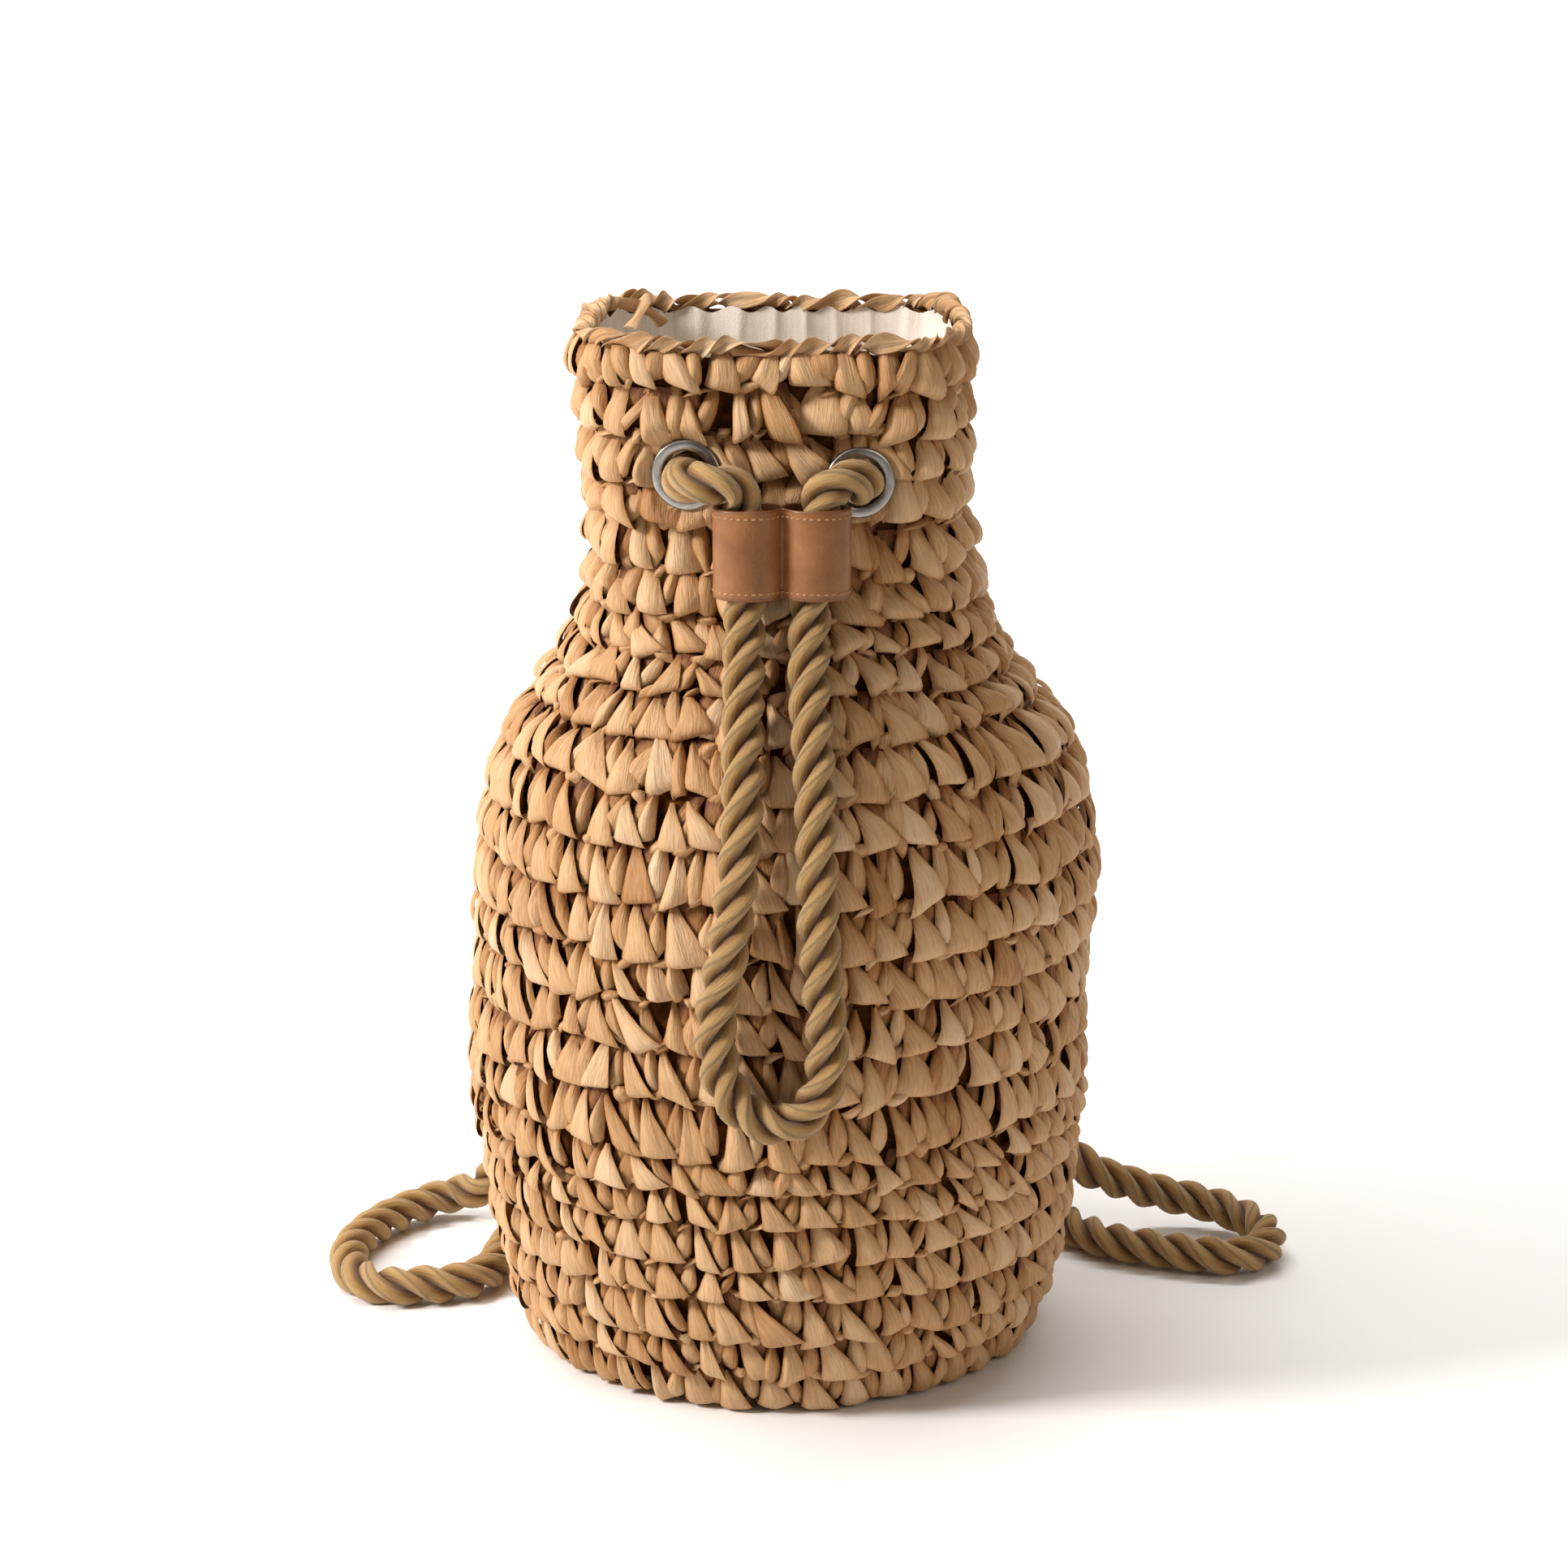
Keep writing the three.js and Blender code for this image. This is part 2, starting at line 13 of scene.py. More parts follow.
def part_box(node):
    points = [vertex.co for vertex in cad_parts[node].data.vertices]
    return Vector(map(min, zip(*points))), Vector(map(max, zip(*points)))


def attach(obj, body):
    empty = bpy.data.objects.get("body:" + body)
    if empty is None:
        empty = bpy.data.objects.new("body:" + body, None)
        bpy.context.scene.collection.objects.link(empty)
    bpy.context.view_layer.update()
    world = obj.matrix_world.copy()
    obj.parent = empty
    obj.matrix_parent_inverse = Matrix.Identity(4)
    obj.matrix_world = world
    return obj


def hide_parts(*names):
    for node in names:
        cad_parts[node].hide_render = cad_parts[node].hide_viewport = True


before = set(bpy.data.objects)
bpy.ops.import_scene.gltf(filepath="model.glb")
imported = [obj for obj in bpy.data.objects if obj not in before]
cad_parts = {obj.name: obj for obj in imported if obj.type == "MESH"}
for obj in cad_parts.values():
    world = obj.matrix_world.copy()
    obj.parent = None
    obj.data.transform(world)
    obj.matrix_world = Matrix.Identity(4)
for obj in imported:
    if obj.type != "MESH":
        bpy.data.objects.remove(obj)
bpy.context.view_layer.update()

STRAW_NODES = ["straw_base", "straw_body", "straw_shoulder", "straw_neck"]
TO_MILLIMETRES = 1000
UP = np.array([0.0, 0.0, 1.0])


def circle(count):
    """The turns of points spread evenly round a circle."""
    return np.arange(count) / count * 2 * math.pi


def unit(vectors):
    return vectors / np.linalg.norm(vectors, axis=-1, keepdims=True)


def wound(turns, first, second):
    """Directions at turns round a circle, from first at 0 to second a quarter further."""
    return np.cos(turns)[:, None] * first + np.sin(turns)[:, None] * second


def lengths_along(points):
    """How far along a line of points each of them is."""
    return np.concatenate([[0], np.cumsum(np.linalg.norm(np.diff(points, axis=0), axis=1))])


def new_object(name, data):
    made = bpy.data.objects.new(name, data)
    bpy.context.scene.collection.objects.link(made)
    return made


# The camera stands as high above the floor and as far away as the photograph's did.

CAMERA_ASIDE = 0.0009
CAMERA_DISTANCE = 1.377
CAMERA_HEIGHT = 0.5654
CAMERA_PITCH = math.radians(14.62)
CAMERA_LENS = 89.7


def add_camera():
    data = bpy.data.cameras.new("camera")
    data.lens = CAMERA_LENS
    camera = new_object("camera", data)
    camera.location = (CAMERA_ASIDE, -CAMERA_DISTANCE, CAMERA_HEIGHT)
    camera.rotation_euler = (math.pi / 2 - CAMERA_PITCH, 0, 0)
    bpy.context.scene.camera = camera


# Materials

class Look:
    """A procedural material, put together from nodes round its shader."""

    def __init__(self, name, settings):
        self.material = bpy.data.materials.new(name)
        self.material.use_nodes = True
        self.tree = self.material.node_tree
        self.shader = self.tree.nodes["Principled BSDF"]
        for socket, value in settings.items():
            self.shader.inputs[socket].default_value = value

    def link(self, output, socket):
        self.tree.links.new(output, self.shader.inputs[socket])

    def node(self, kind, inputs, **settings):
        """Adds a node. inputs gives each named input a number, or the output that feeds it."""
        node = self.tree.nodes.new(kind)
        for key, value in settings.items():
            setattr(node, key, value)
        for name, value in inputs.items():
            if isinstance(value, (int, float, tuple)):
                node.inputs[name].default_value = value
            else:
                self.tree.links.new(value, node.inputs[name])
        return node

    def own_places(self):
        return self.node("ShaderNodeTexCoord", {}).outputs["Object"]

    def noise(self, scale, detail=2.0, roughness=0.5):
        """A noise texture's value. A number scales it over the object's own places, and a pair
        over the piece's UV places, in millimetres across it and along it."""
        if isinstance(scale, tuple):
            lengths = self.node("ShaderNodeUVMap", {}, uv_map="lengths").outputs["UV"]
            stretched = self.node("ShaderNodeMapping", {"Vector": lengths, "Scale": (*scale, 1)})
            places, scale = stretched.outputs["Vector"], 1.0
        else:
            places = self.own_places()
        texture = self.node("ShaderNodeTexNoise", {
            "Vector": places, "Scale": scale, "Detail": detail, "Roughness": roughness})
        return texture.outputs["Fac"]

    def tint(self):
        return self.node("ShaderNodeAttribute", {}, attribute_name="tint").outputs["Fac"]

    def mixed(self, first, second, share):
        mix = self.node("ShaderNodeMix", {"A": first, "B": second, "Factor": share})
        return mix.outputs["Result"]

    def paint(self, value, stops):
        """Colours the shader by a value, through a ramp of places and colours."""
        ramp = self.node("ShaderNodeValToRGB", {"Fac": value})
        elements = ramp.color_ramp.elements
        while len(elements) < len(stops):
            elements.new(0.5)
        for element, (place, colour) in zip(elements, stops):
            element.position = place
            element.color = (*colour, 1)
        self.link(ramp.outputs["Color"], "Base Color")

    def bump(self, height, distance, strength=1.0):
        bump = self.node("ShaderNodeBump", {
            "Height": height, "Distance": distance, "Strength": strength})
        self.link(bump.outputs["Normal"], "Normal")


def straw_material():
    look = Look("straw", {"Roughness": 0.6, "Specular IOR Level": 0.35})
    creases = look.noise((1.5, 0.11), 4.0, 0.6)
    dents = look.noise((0.35, 0.16))
    # The tint carries painted shade at the leaves' tips and edges and in the tucks, over each leaf's own
    # tone.
    look.paint(look.mixed(look.tint(), creases, 0.5), [
        (0.12, (0.115, 0.029, 0.003)),
        (0.34, (0.355, 0.158, 0.045)),
        (0.58, (0.56, 0.335, 0.16)),
        (0.86, (0.735, 0.545, 0.36)),
    ])
    look.bump(look.mixed(creases, dents, 0.55), 0.0013, 0.9)
    return look.material


def painted_shade_material():
    # A dark sheet of painted shade, seen through the gaps between the stitches
    look = Look("straw_painted_shade", {"Roughness": 0.85, "Specular IOR Level": 0.05})
    shade_mottle = look.noise(160.0, 3.0)
    look.paint(shade_mottle, [
        (0.35, (0.03, 0.009, 0.001)),
        (0.6, (0.085, 0.027, 0.004)),
        (0.78, (0.16, 0.06, 0.012)),
    ])
    look.bump(shade_mottle, 0.003)
    return look.material


def rope_material():
    look = Look("laid_cotton", {"Roughness": 0.8, "Sheen Weight": 0.25, "Specular IOR Level": 0.2})
    yarns = look.noise((1.25, 0.06), 3.0, 0.55)
    fibres = look.noise((6.0, 0.5))
    # The tint carries painted shade in the grooves and painted light on the strands' crests.
    look.paint(look.mixed(look.mixed(yarns, fibres, 0.35), look.tint(), 0.42), [
        (0.2, (0.065, 0.022, 0.003)),
        (0.42, (0.235, 0.112, 0.026)),
        (0.62, (0.42, 0.242, 0.08)),
        (0.85, (0.6, 0.385, 0.165)),
    ])
    look.bump(look.mixed(yarns, fibres, 0.4), 0.0012, 0.9)
    return look.material


def leather_material():
    look = Look("leather", {"Roughness": 0.42})
    grain = look.node("ShaderNodeTexVoronoi", {
        "Vector": look.own_places(), "Scale": 1500.0, "Randomness": 1.0})
    look.paint(look.mixed(look.noise(110.0, 4.0, 0.6), look.tint(), 0.5), [
        (0.1, (0.06, 0.02, 0.006)),
        (0.45, (0.225, 0.084, 0.023)),
        (0.62, (0.31, 0.124, 0.036)),
        (0.85, (0.41, 0.182, 0.064)),
    ])
    look.bump(grain.outputs["Distance"], 0.0002, 0.35)
    return look.material


def thread_material():
    look = Look("thread", {"Roughness": 0.6})
    look.paint(look.noise(900.0), [(0.3, (0.3, 0.14, 0.06)), (0.7, (0.5, 0.27, 0.13))])
    return look.material


def metal_material():
    look = Look("satin_metal", {"Roughness": 0.3, "Metallic": 1.0})
    haze = look.noise(260.0, 5.0, 0.65)
    look.paint(haze, [(0.3, (0.27, 0.257, 0.235)), (0.7, (0.42, 0.405, 0.38))])
    rough = look.node("ShaderNodeMapRange", {"Value": haze, "To Min": 0.22, "To Max": 0.42})
    look.link(rough.outputs["Result"], "Roughness")
    look.bump(haze, 0.0002, 0.2)
    return look.material


def lining_material():
    look = Look("cotton", {"Roughness": 0.9, "Sheen Weight": 0.15})
    weave = look.noise((1.6, 1.6), 3.0)
    slubs = look.noise((0.8, 0.03))
    look.paint(look.mixed(weave, slubs, 0.5), [
        (0.3, (0.64, 0.565, 0.475)),
        (0.7, (0.82, 0.745, 0.655)),
    ])
    look.bump(weave, 0.0004, 0.6)
    return look.material


def floor_material():
    look = Look("floor", {"Roughness": 0.9})
    look.paint(look.noise(2.0), [(0.3, (0.9, 0.89, 0.875)), (0.7, (0.93, 0.92, 0.91))])
    return look.material


LOOKS = {
    "straw": straw_material(),
    "shade_backing": painted_shade_material(),
    "rope": rope_material(),
    "leather": leather_material(),
    "thread": thread_material(),
    "eyelet_metal": metal_material(),
    "lining": lining_material(),
    "floor": floor_material(),
}


# Building a piece from patches. A patch is a grid of points with UV places and a tint.

class Patches:
    """Collects four-sided faces from many grids, and joins them into one mesh."""

    def __init__(self):
        self.points, self.faces, self.places, self.tints = [], [], [], []
        self.count = 0

    def add(self, grids, across, along, tints, closed=True, keep=None):
        """grids is patches x rows x columns x 3, or one patch. across and along, its UV places in
        millimetres, and tints are numbers or grids that spread over it. closed joins the last
        column to the first. keep says which points stay."""
        grids = grids.reshape(-1, *grids.shape[-3:])
        spread = grids.shape[:3]
        number = np.arange(math.prod(spread)).reshape(spread) + self.count
        if closed:
            number = np.concatenate([number, number[:, :, :1]], axis=2)
        faces = np.stack([
            number[:, :-1, :-1], number[:, :-1, 1:], number[:, 1:, 1:], number[:, 1:, :-1],
        ], axis=-1).reshape(-1, 4)
        if keep is not None:
            faces = faces[keep.reshape(-1)[faces - self.count].all(axis=1)]
        places = np.stack([np.broadcast_to(value, spread) for value in (across, along)], axis=-1)
        self.points.append(grids.reshape(-1, 3))
        self.places.append(places.reshape(-1, 2))
        self.tints.append(np.broadcast_to(tints, spread).reshape(-1))
        self.faces.append(faces)
        self.count += math.prod(spread)
        return self

    def build(self, name, look, slot, *nodes):
        """Makes the piece, which stands for these nodes."""
        points = np.concatenate(self.points)
        faces = np.concatenate(self.faces)
        used, renumbered = np.unique(faces, return_inverse=True)
        faces = renumbered.reshape(-1, 4)
        mesh = bpy.data.meshes.new(name)
        mesh.vertices.add(len(used))
        mesh.vertices.foreach_set("co", points[used].astype(np.float32).reshape(-1))
        mesh.loops.add(len(faces) * 4)
        mesh.loops.foreach_set("vertex_index", faces.reshape(-1).astype(np.int32))
        mesh.polygons.add(len(faces))
        mesh.polygons.foreach_set("loop_start", np.arange(0, len(faces) * 4, 4, dtype=np.int32))
        mesh.update(calc_edges=True)
        layer = mesh.uv_layers.new(name="lengths")
        places = np.concatenate(self.places)[used][faces.reshape(-1)]
        layer.data.foreach_set("uv", places.astype(np.float32).reshape(-1))
        tint = mesh.attributes.new("tint", "FLOAT", "POINT")
        tint.data.foreach_set("value", np.concatenate(self.tints)[used].astype(np.float32))
        mesh.polygons.foreach_set("use_smooth", np.ones(len(faces), dtype=bool))
        mesh.materials.append(LOOKS[look])
        piece = new_object(name, mesh)
        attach(piece, "root")
        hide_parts(*nodes)
        return piece


# The tint of a piece whose material doesn't read it
PLAIN_TINT = 0.5


def per_stitch(values):
    """One value for each stitch, ready to spread over the stitch's rows and columns."""
    return np.asarray(values, float).reshape(-1, 1, 1)


# The straw's outer face, read off the frame: a smooth skin over the crests of the rounds.
# along is the distance over the wall, 0 at the base's edge and less than 0 under the base.

SAMPLE_TURNS = 192
SAMPLE_STEP = 0.002
SAMPLE_START = 0.0008
GROOVE_SMOOTHING = 0.005
CREST_LIFT = -0.0022
SKIN_FLOOR = 0.0004

# The rows under the base go between these shares of its radius.
UNDER_SHARES = (0.02, 0.995)

# The rays that read the face start outside the bag and above it.
RAY_REACH = 0.3
RAY_HEIGHT = 0.5

# The rim's height is read a little inside the neck's outer face. The highest rows follow it.
RIM_READ_BELOW = 0.012
RIM_READ_INSIDE = 0.003
RIM_SMOOTHING = 3
RIM_MARGIN = 0.004
RIM_FOLLOWED_FROM = 0.88

# Round an eyelet the face is drawn between the radii below and above it.
EYELET_BLIND = 0.017
BLIND_MARGIN = 0.001

# The stitches pull the neck squarer than the smooth solid: the corner power that it has and gets,
# and the heights between which that sets in.
NECK_SQUARENESS = 2.9
NECK_PULLED_TO = 4.4
NECK_PULL_START = 0.25
NECK_PULL_FULL = 0.33


def straw_tree():
    points, faces = [], []
    for name in STRAW_NODES:
        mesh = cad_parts[name].data
        start = len(points)
        points += [vertex.co.copy() for vertex in mesh.vertices]
        faces += [[start + index for index in polygon.vertices] for polygon in mesh.polygons]
    return BVHTree.FromPolygons(points, faces)


def eyelet_axis(name):
    """The middle of an eyelet's outer face, its outward direction, its length and its radii."""
    points = np.array([vertex.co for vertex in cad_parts[name].data.vertices])
    middle = points.mean(axis=0)
    spreads, axes = np.linalg.eigh(np.cov((points - middle).T))
    odd_one = 0 if spreads[1] - spreads[0] > spreads[2] - spreads[1] else 2
    outward = axes[:, odd_one]
    if outward[:2] @ middle[:2] < 0:
        outward = -outward
    along = (points - middle) @ outward
    across = np.linalg.norm(points - middle - along[:, None] * outward, axis=1)
    return {
        "face": middle + outward * along.max(),
        "outward": outward,
        "length": along.max() - along.min(),
        "outer": across.max(),
        "bore": across.min(),
    }


EYELETS = {name: eyelet_axis(name) for name in sorted(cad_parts) if name.startswith("eyelet")}


def across_eyelet(eyelet):
    """The two directions across an eyelet: sideways and upwards."""
    sideways = np.cross(UP, eyelet["outward"])
    sideways /= np.linalg.norm(sideways)
    return sideways, np.cross(eyelet["outward"], sideways)


def smoothed(values, spread, axis=0):
    """Values blurred along an axis, with the ends carried straight on."""
    reach = int(math.ceil(spread * 3))
    weights = np.exp(-0.5 * (np.arange(-reach, reach + 1) / spread) ** 2)
    weights /= weights.sum()
    values = np.moveaxis(values, axis, 0)
    before = 2 * values[:1] - values[reach:0:-1]
    after = 2 * values[-1:] - values[-2:-reach - 2:-1]
    padded = np.concatenate([before, values, after])
    result = sum(weight * padded[index:index + len(values)] for index, weight in enumerate(weights))
    return np.moveaxis(result, 0, axis)


def smoothed_round(values, spread):
    """Values on a closed way round, blurred along it."""
    count = len(values)
    return smoothed(np.concatenate([values] * 3), spread)[count:2 * count]


class Skin:
    """Places on the straw's outer face and the directions out of it."""

    def __init__(self):
        tree = straw_tree()
        self.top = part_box("straw_neck")[1].z
        turns = circle(SAMPLE_TURNS)
        rim = np.array([self.rim_height(tree, turn) for turn in turns])
        self.rim = smoothed_round(rim, RIM_SMOOTHING)
        heights = np.arange(SAMPLE_START, self.rim.min() - RIM_MARGIN, SAMPLE_STEP)
        radii = np.array([[self.radius(tree, turn, height) for turn in turns] for height in heights])
        radii = smoothed(radii, GROOVE_SMOOTHING / SAMPLE_STEP) + CREST_LIFT
        self.lay_grid(turns, heights, self.pulled_square(turns, heights, radii))

    def rim_height(self, tree, turn):
        outward = Vector((math.cos(turn), math.sin(turn), 0))
        start = Vector((0, 0, self.top - RIM_READ_BELOW))
        outer = tree.ray_cast(start + outward * RAY_REACH, -outward)[0]
        middle = outer - outward * RIM_READ_INSIDE
        return tree.ray_cast(Vector((middle.x, middle.y, RAY_HEIGHT)), Vector((0, 0, -1)))[0].z

    def radius(self, tree, turn, height):
        """The outer radius at a turn and height, drawn across an eyelet where one is there."""
        for eyelet in EYELETS.values():
            x, y, z = eyelet["face"]
            aside = (turn - math.atan2(y, x) + math.pi) % (2 * math.pi) - math.pi
            if abs(height - z) < EYELET_BLIND and abs(aside) * math.hypot(x, y) < EYELET_BLIND:
                low = self.radius(tree, turn, z - EYELET_BLIND - BLIND_MARGIN)
                high = self.radius(tree, turn, z + EYELET_BLIND + BLIND_MARGIN)
                return low + (high - low) * ((height - z + EYELET_BLIND) / (2 * EYELET_BLIND))
        outward = Vector((math.cos(turn), math.sin(turn), 0))
        hit = tree.ray_cast(outward * RAY_REACH + Vector((0, 0, height)), -outward)[0]
        return math.hypot(hit.x, hit.y)

    def pulled_square(self, turns, heights, radii):
        """Radii with the neck's corners drawn out, each level as wide and as deep as before."""
        def corner_reach(power):
            return (np.abs(np.cos(turns)) ** power + np.abs(np.sin(turns)) ** power) ** (-1 / power)

        pull = (corner_reach(NECK_PULLED_TO) / corner_reach(NECK_SQUARENESS))[None, :] - 1
        share = np.clip((heights - NECK_PULL_START) / (NECK_PULL_FULL - NECK_PULL_START), 0, 1)
        return radii * (1 + pull * share[:, None])

    def lay_grid(self, turns, heights, radii):
        """Rows of points from the base's middle, over its edge and up the wall to the rim."""
        round_x, round_y = np.cos(turns), np.sin(turns)
        shares = np.arange(*UNDER_SHARES, SAMPLE_STEP / radii[0].mean())
        under = [np.stack([round_x * radii[0] * share, round_y * radii[0] * share,
                           np.zeros(SAMPLE_TURNS)], axis=1) for share in shares]
        lift = self.rim - self.rim.mean()
        wall = []
        for height, radius in zip(heights, radii):
            share = (height / self.rim.mean() - RIM_FOLLOWED_FROM) / (1 - RIM_FOLLOWED_FROM)
            lifted = height + lift * np.clip(share, 0, 1) ** 2
            wall.append(np.stack([round_x * radius, round_y * radius, lifted], axis=1))
        rows = smoothed(np.array(under + wall), 1)
        rows[:, :, 2] = np.maximum(rows[:, :, 2], SKIN_FLOOR)
        middles = np.stack([np.linalg.norm(rows[:, :, :2], axis=2).mean(axis=1),
                            rows[:, :, 2].mean(axis=1)], axis=1)
        along = lengths_along(middles)
        self.edge_row = len(under)
        along -= along[self.edge_row]
        self.rows, self.along, self.heights = rows, along, middles[:, 1]
        sideways = np.roll(rows, -1, axis=1) - np.roll(rows, 1, axis=1)
        upwards = np.gradient(rows, axis=0)
        self.normals = unit(np.cross(sideways, upwards))

    def along_at(self, height):
        """The distance over the wall at a mean height. Above its last row it runs straight up."""
        wall = np.interp(height, self.heights[self.edge_row:], self.along[self.edge_row:])
        return wall + max(height - self.heights[-1], 0)

    def read(self, grid, along, column):
        """A grid's values between its rows and columns. Past its ends it runs on straight."""
        row = np.interp(along, self.along, np.arange(len(self.along)))
        low = np.clip(np.floor(row).astype(int), 0, len(grid) - 2)
        share = (row - low)[..., None]
        left = np.floor(column).astype(int)
        side = (column - left)[..., None]
        left, right = left % SAMPLE_TURNS, (left + 1) % SAMPLE_TURNS
        lower = grid[low, left] * (1 - side) + grid[low, right] * side
        upper = grid[low + 1, left] * (1 - side) + grid[low + 1, right] * side
        return lower * (1 - share) + upper * share

    def place(self, along, column, out):
        """Points at a distance along the wall, at a column, and out of the face."""
        points = self.read(self.rows, along, column)
        normals = self.read(self.normals, along, column)
        past = np.maximum(along - self.along[-1], 0)[..., None]
        return points + normals * np.asarray(out)[..., None] + UP * past

    def ring(self, along):
        """The distance round the ring at one place along the wall, at each column."""
        columns = np.arange(SAMPLE_TURNS + 1.0)
        points = self.place(np.full(SAMPLE_TURNS + 1, along), columns, np.zeros(SAMPLE_TURNS + 1))
        return lengths_along(points)


skin = Skin()


# Near an eyelet the straw and the dark sheet of painted shade behind it are pressed in under the outer
# flange, the lining lies against the inner flange, and all three are open for the tube.

PRESSED_REACH = 0.021
PRESSED_DEPTH = 0.02
PRESSED_RISE = 0.006
TUBE_RADIUS = 0.0098
TUBE_OVERLAP = 0.0012
INNER_FLANGE = 0.0013
LEAF_ROOM = 0.0022
BACKING_ROOM = 0.0035


def pressed(points, room=None):
    """Points pressed under the outer flanges, room below an eyelet's face, or with no room given
    laid against the inner flanges. Returns them, and which of them are outside the tubes."""
    outside = np.ones(points.shape[:-1], dtype=bool)
    for eyelet in EYELETS.values():
        face, outward, outer = eyelet["face"], eyelet["outward"], eyelet["outer"]
        offset = points - face
        depth = offset @ outward
        across = offset - depth[..., None] * outward
        reach = np.linalg.norm(across, axis=-1)
        near = (np.abs(depth) < PRESSED_DEPTH) & (reach < PRESSED_REACH)
        outside &= ~(near & (reach < TUBE_RADIUS - TUBE_OVERLAP))
        ease = np.clip((reach - outer) / (PRESSED_REACH - outer), 0, 1)
        if room is None:
            against = INNER_FLANGE - eyelet["length"]
            laid = against + (depth - against) * ease
        else:
            laid = np.minimum(depth, -room + (room + PRESSED_RISE) * ease)
        depth = np.where(near, laid, depth)
        pushed = np.where(near, np.maximum(reach, TUBE_RADIUS), reach)
        across = across * (pushed / np.maximum(reach, 1e-6))[..., None]
        points = face + depth[..., None] * outward + across
    return points, outside


# The stitches. Each is a V of two leaves of flat straw ribbon: a wide fin on the left in front and
# a crescent on the right behind it, with a tuck between their tips and a bar at the foot.

STITCH_PITCH = 0.0141
ROUND_TOPS = [
    0.017, 0.031, 0.046, 0.061, 0.076, 0.088, 0.101, 0.1196, 0.1375, 0.155, 0.171, 0.19,
    0.209, 0.226, 0.243, 0.2565, 0.269, 0.281, 0.2965, 0.313, 0.328, 0.343, 0.359, 0.3745,
]
UNDER_ROUNDS = 6
UNDER_INSET = 0.0046
UNDER_EASE = 0.003
UNDER_START = 0.004
FLOOR_GAP = 0.0005

# How often a round's edge wavers on its way round the bag, and how far
ROUND_WAVES = [(2, 0.0007), (3, 0.0007), (5, 0.0006), (9, 0.0005), (17, 0.0004)]

# Each column of a leaf's table is read from its foot, at step 0, to its tip, at step 1. left and
# right are its edges and out is its crest, in metres. up is a share of the round's height.

PLUMP_FRONT = {
    "step": [0, 0.08, 0.22, 0.4, 0.62, 0.84, 1],
    "left": [-0.0036, -0.0046, -0.0052, -0.0055, -0.0060, -0.0062, -0.0056],
    "right": [0.0042, 0.0054, 0.0056, 0.0046, 0.0026, 0.0002, -0.0014],
    "up": [0.07, -0.02, 0.09, 0.3, 0.58, 0.88, 1.1],
    "out": [-0.0016, 0.0018, 0.0037, 0.0043, 0.0034, 0.0010, -0.0020],
}
PLUMP_BACK = {
    "step": [0, 0.1, 0.3, 0.55, 0.8, 1],
    "left": [0.0026, 0.0022, 0.0014, 0.0011, 0.0016, 0.0026],
    "right": [0.0058, 0.0074, 0.0084, 0.0084, 0.0077, 0.0062],
    "up": [0.14, 0.05, 0.24, 0.52, 0.82, 1.1],
    "out": [-0.0020, 0.0006, 0.0024, 0.0032, 0.0018, -0.0016],
}
FIN_FRONT = {
    "step": [0, 0.08, 0.22, 0.4, 0.62, 0.84, 1],
    "left": [-0.0048, -0.0068, -0.0070, -0.0064, -0.0066, -0.0069, -0.0068],
    "right": [0.0042, 0.0058, 0.0055, 0.0038, 0.0010, -0.0028, -0.0050],
    "up": [0.05, -0.04, 0.07, 0.28, 0.56, 0.84, 1.06],
    "out": [-0.0014, 0.0018, 0.0035, 0.0040, 0.0031, 0.0008, -0.0016],
}
FIN_BACK = {
    "step": [0, 0.1, 0.3, 0.55, 0.8, 1],
    "left": [0.0036, 0.0026, 0.0012, 0.0010, 0.0022, 0.0036],
    "right": [0.0060, 0.0072, 0.0080, 0.0077, 0.0063, 0.0049],
    "up": [0.12, 0.02, 0.22, 0.5, 0.8, 1.06],
    "out": [-0.0018, 0.0004, 0.0021, 0.0028, 0.0016, -0.0012],
}
TUCK = {
    "step": [0, 0.4, 0.75, 1],
    "left": [-0.0016, -0.0022, -0.0028, -0.0028],
    "right": [0.0030, 0.0034, 0.0040, 0.0040],
    "up": [0.2, 0.5, 0.8, 1.1],
    "out": [-0.0016, -0.0002, -0.0004, -0.0018],
}
BAR = {
    "step": [0, 0.25, 0.6, 1],
    "left": [-0.0108, -0.0110, -0.0100, -0.0080],
    "right": [-0.0072, -0.0060, -0.0044, -0.0030],
    "up": [-0.14, -0.06, 0.06, 0.18],
    "out": [-0.0022, 0.0010, 0.0024, 0.0010],
}

# curl is how far the left and the right edge bend in. share is the part of the stitches with one.
SMALL_LEAVES = [
    # The tuck's low tint is painted shade, for the deep V between the two leaves' tips.
    {"table": TUCK, "rows": 6, "columns": 4, "curl": (0.0005, 0.0005), "tint": 0.16, "share": 1.0},
    {"table": BAR, "rows": 7, "columns": 5, "curl": (0.001, 0.001), "tint": 0.6, "share": 0.8},
]


def leaf_set(front, front_curl, back, back_curl):
    """The leaves that a stitch is made of, from its front one to its bar."""
    return [
        {"table": front, "rows": 13, "columns": 10, "curl": front_curl, "tint": 0.66, "share": 1.0},
        {"table": back, "rows": 10, "columns": 8, "curl": back_curl, "tint": 0.54, "share": 1.0},
        *SMALL_LEAVES,
    ]


FINS = leaf_set(FIN_FRONT, (0.0017, 0.0004), FIN_BACK, (0.001, 0.0018))
PLUMP = leaf_set(PLUMP_FRONT, (0.0024, 0.0007), PLUMP_BACK, (0.0014, 0.0026))

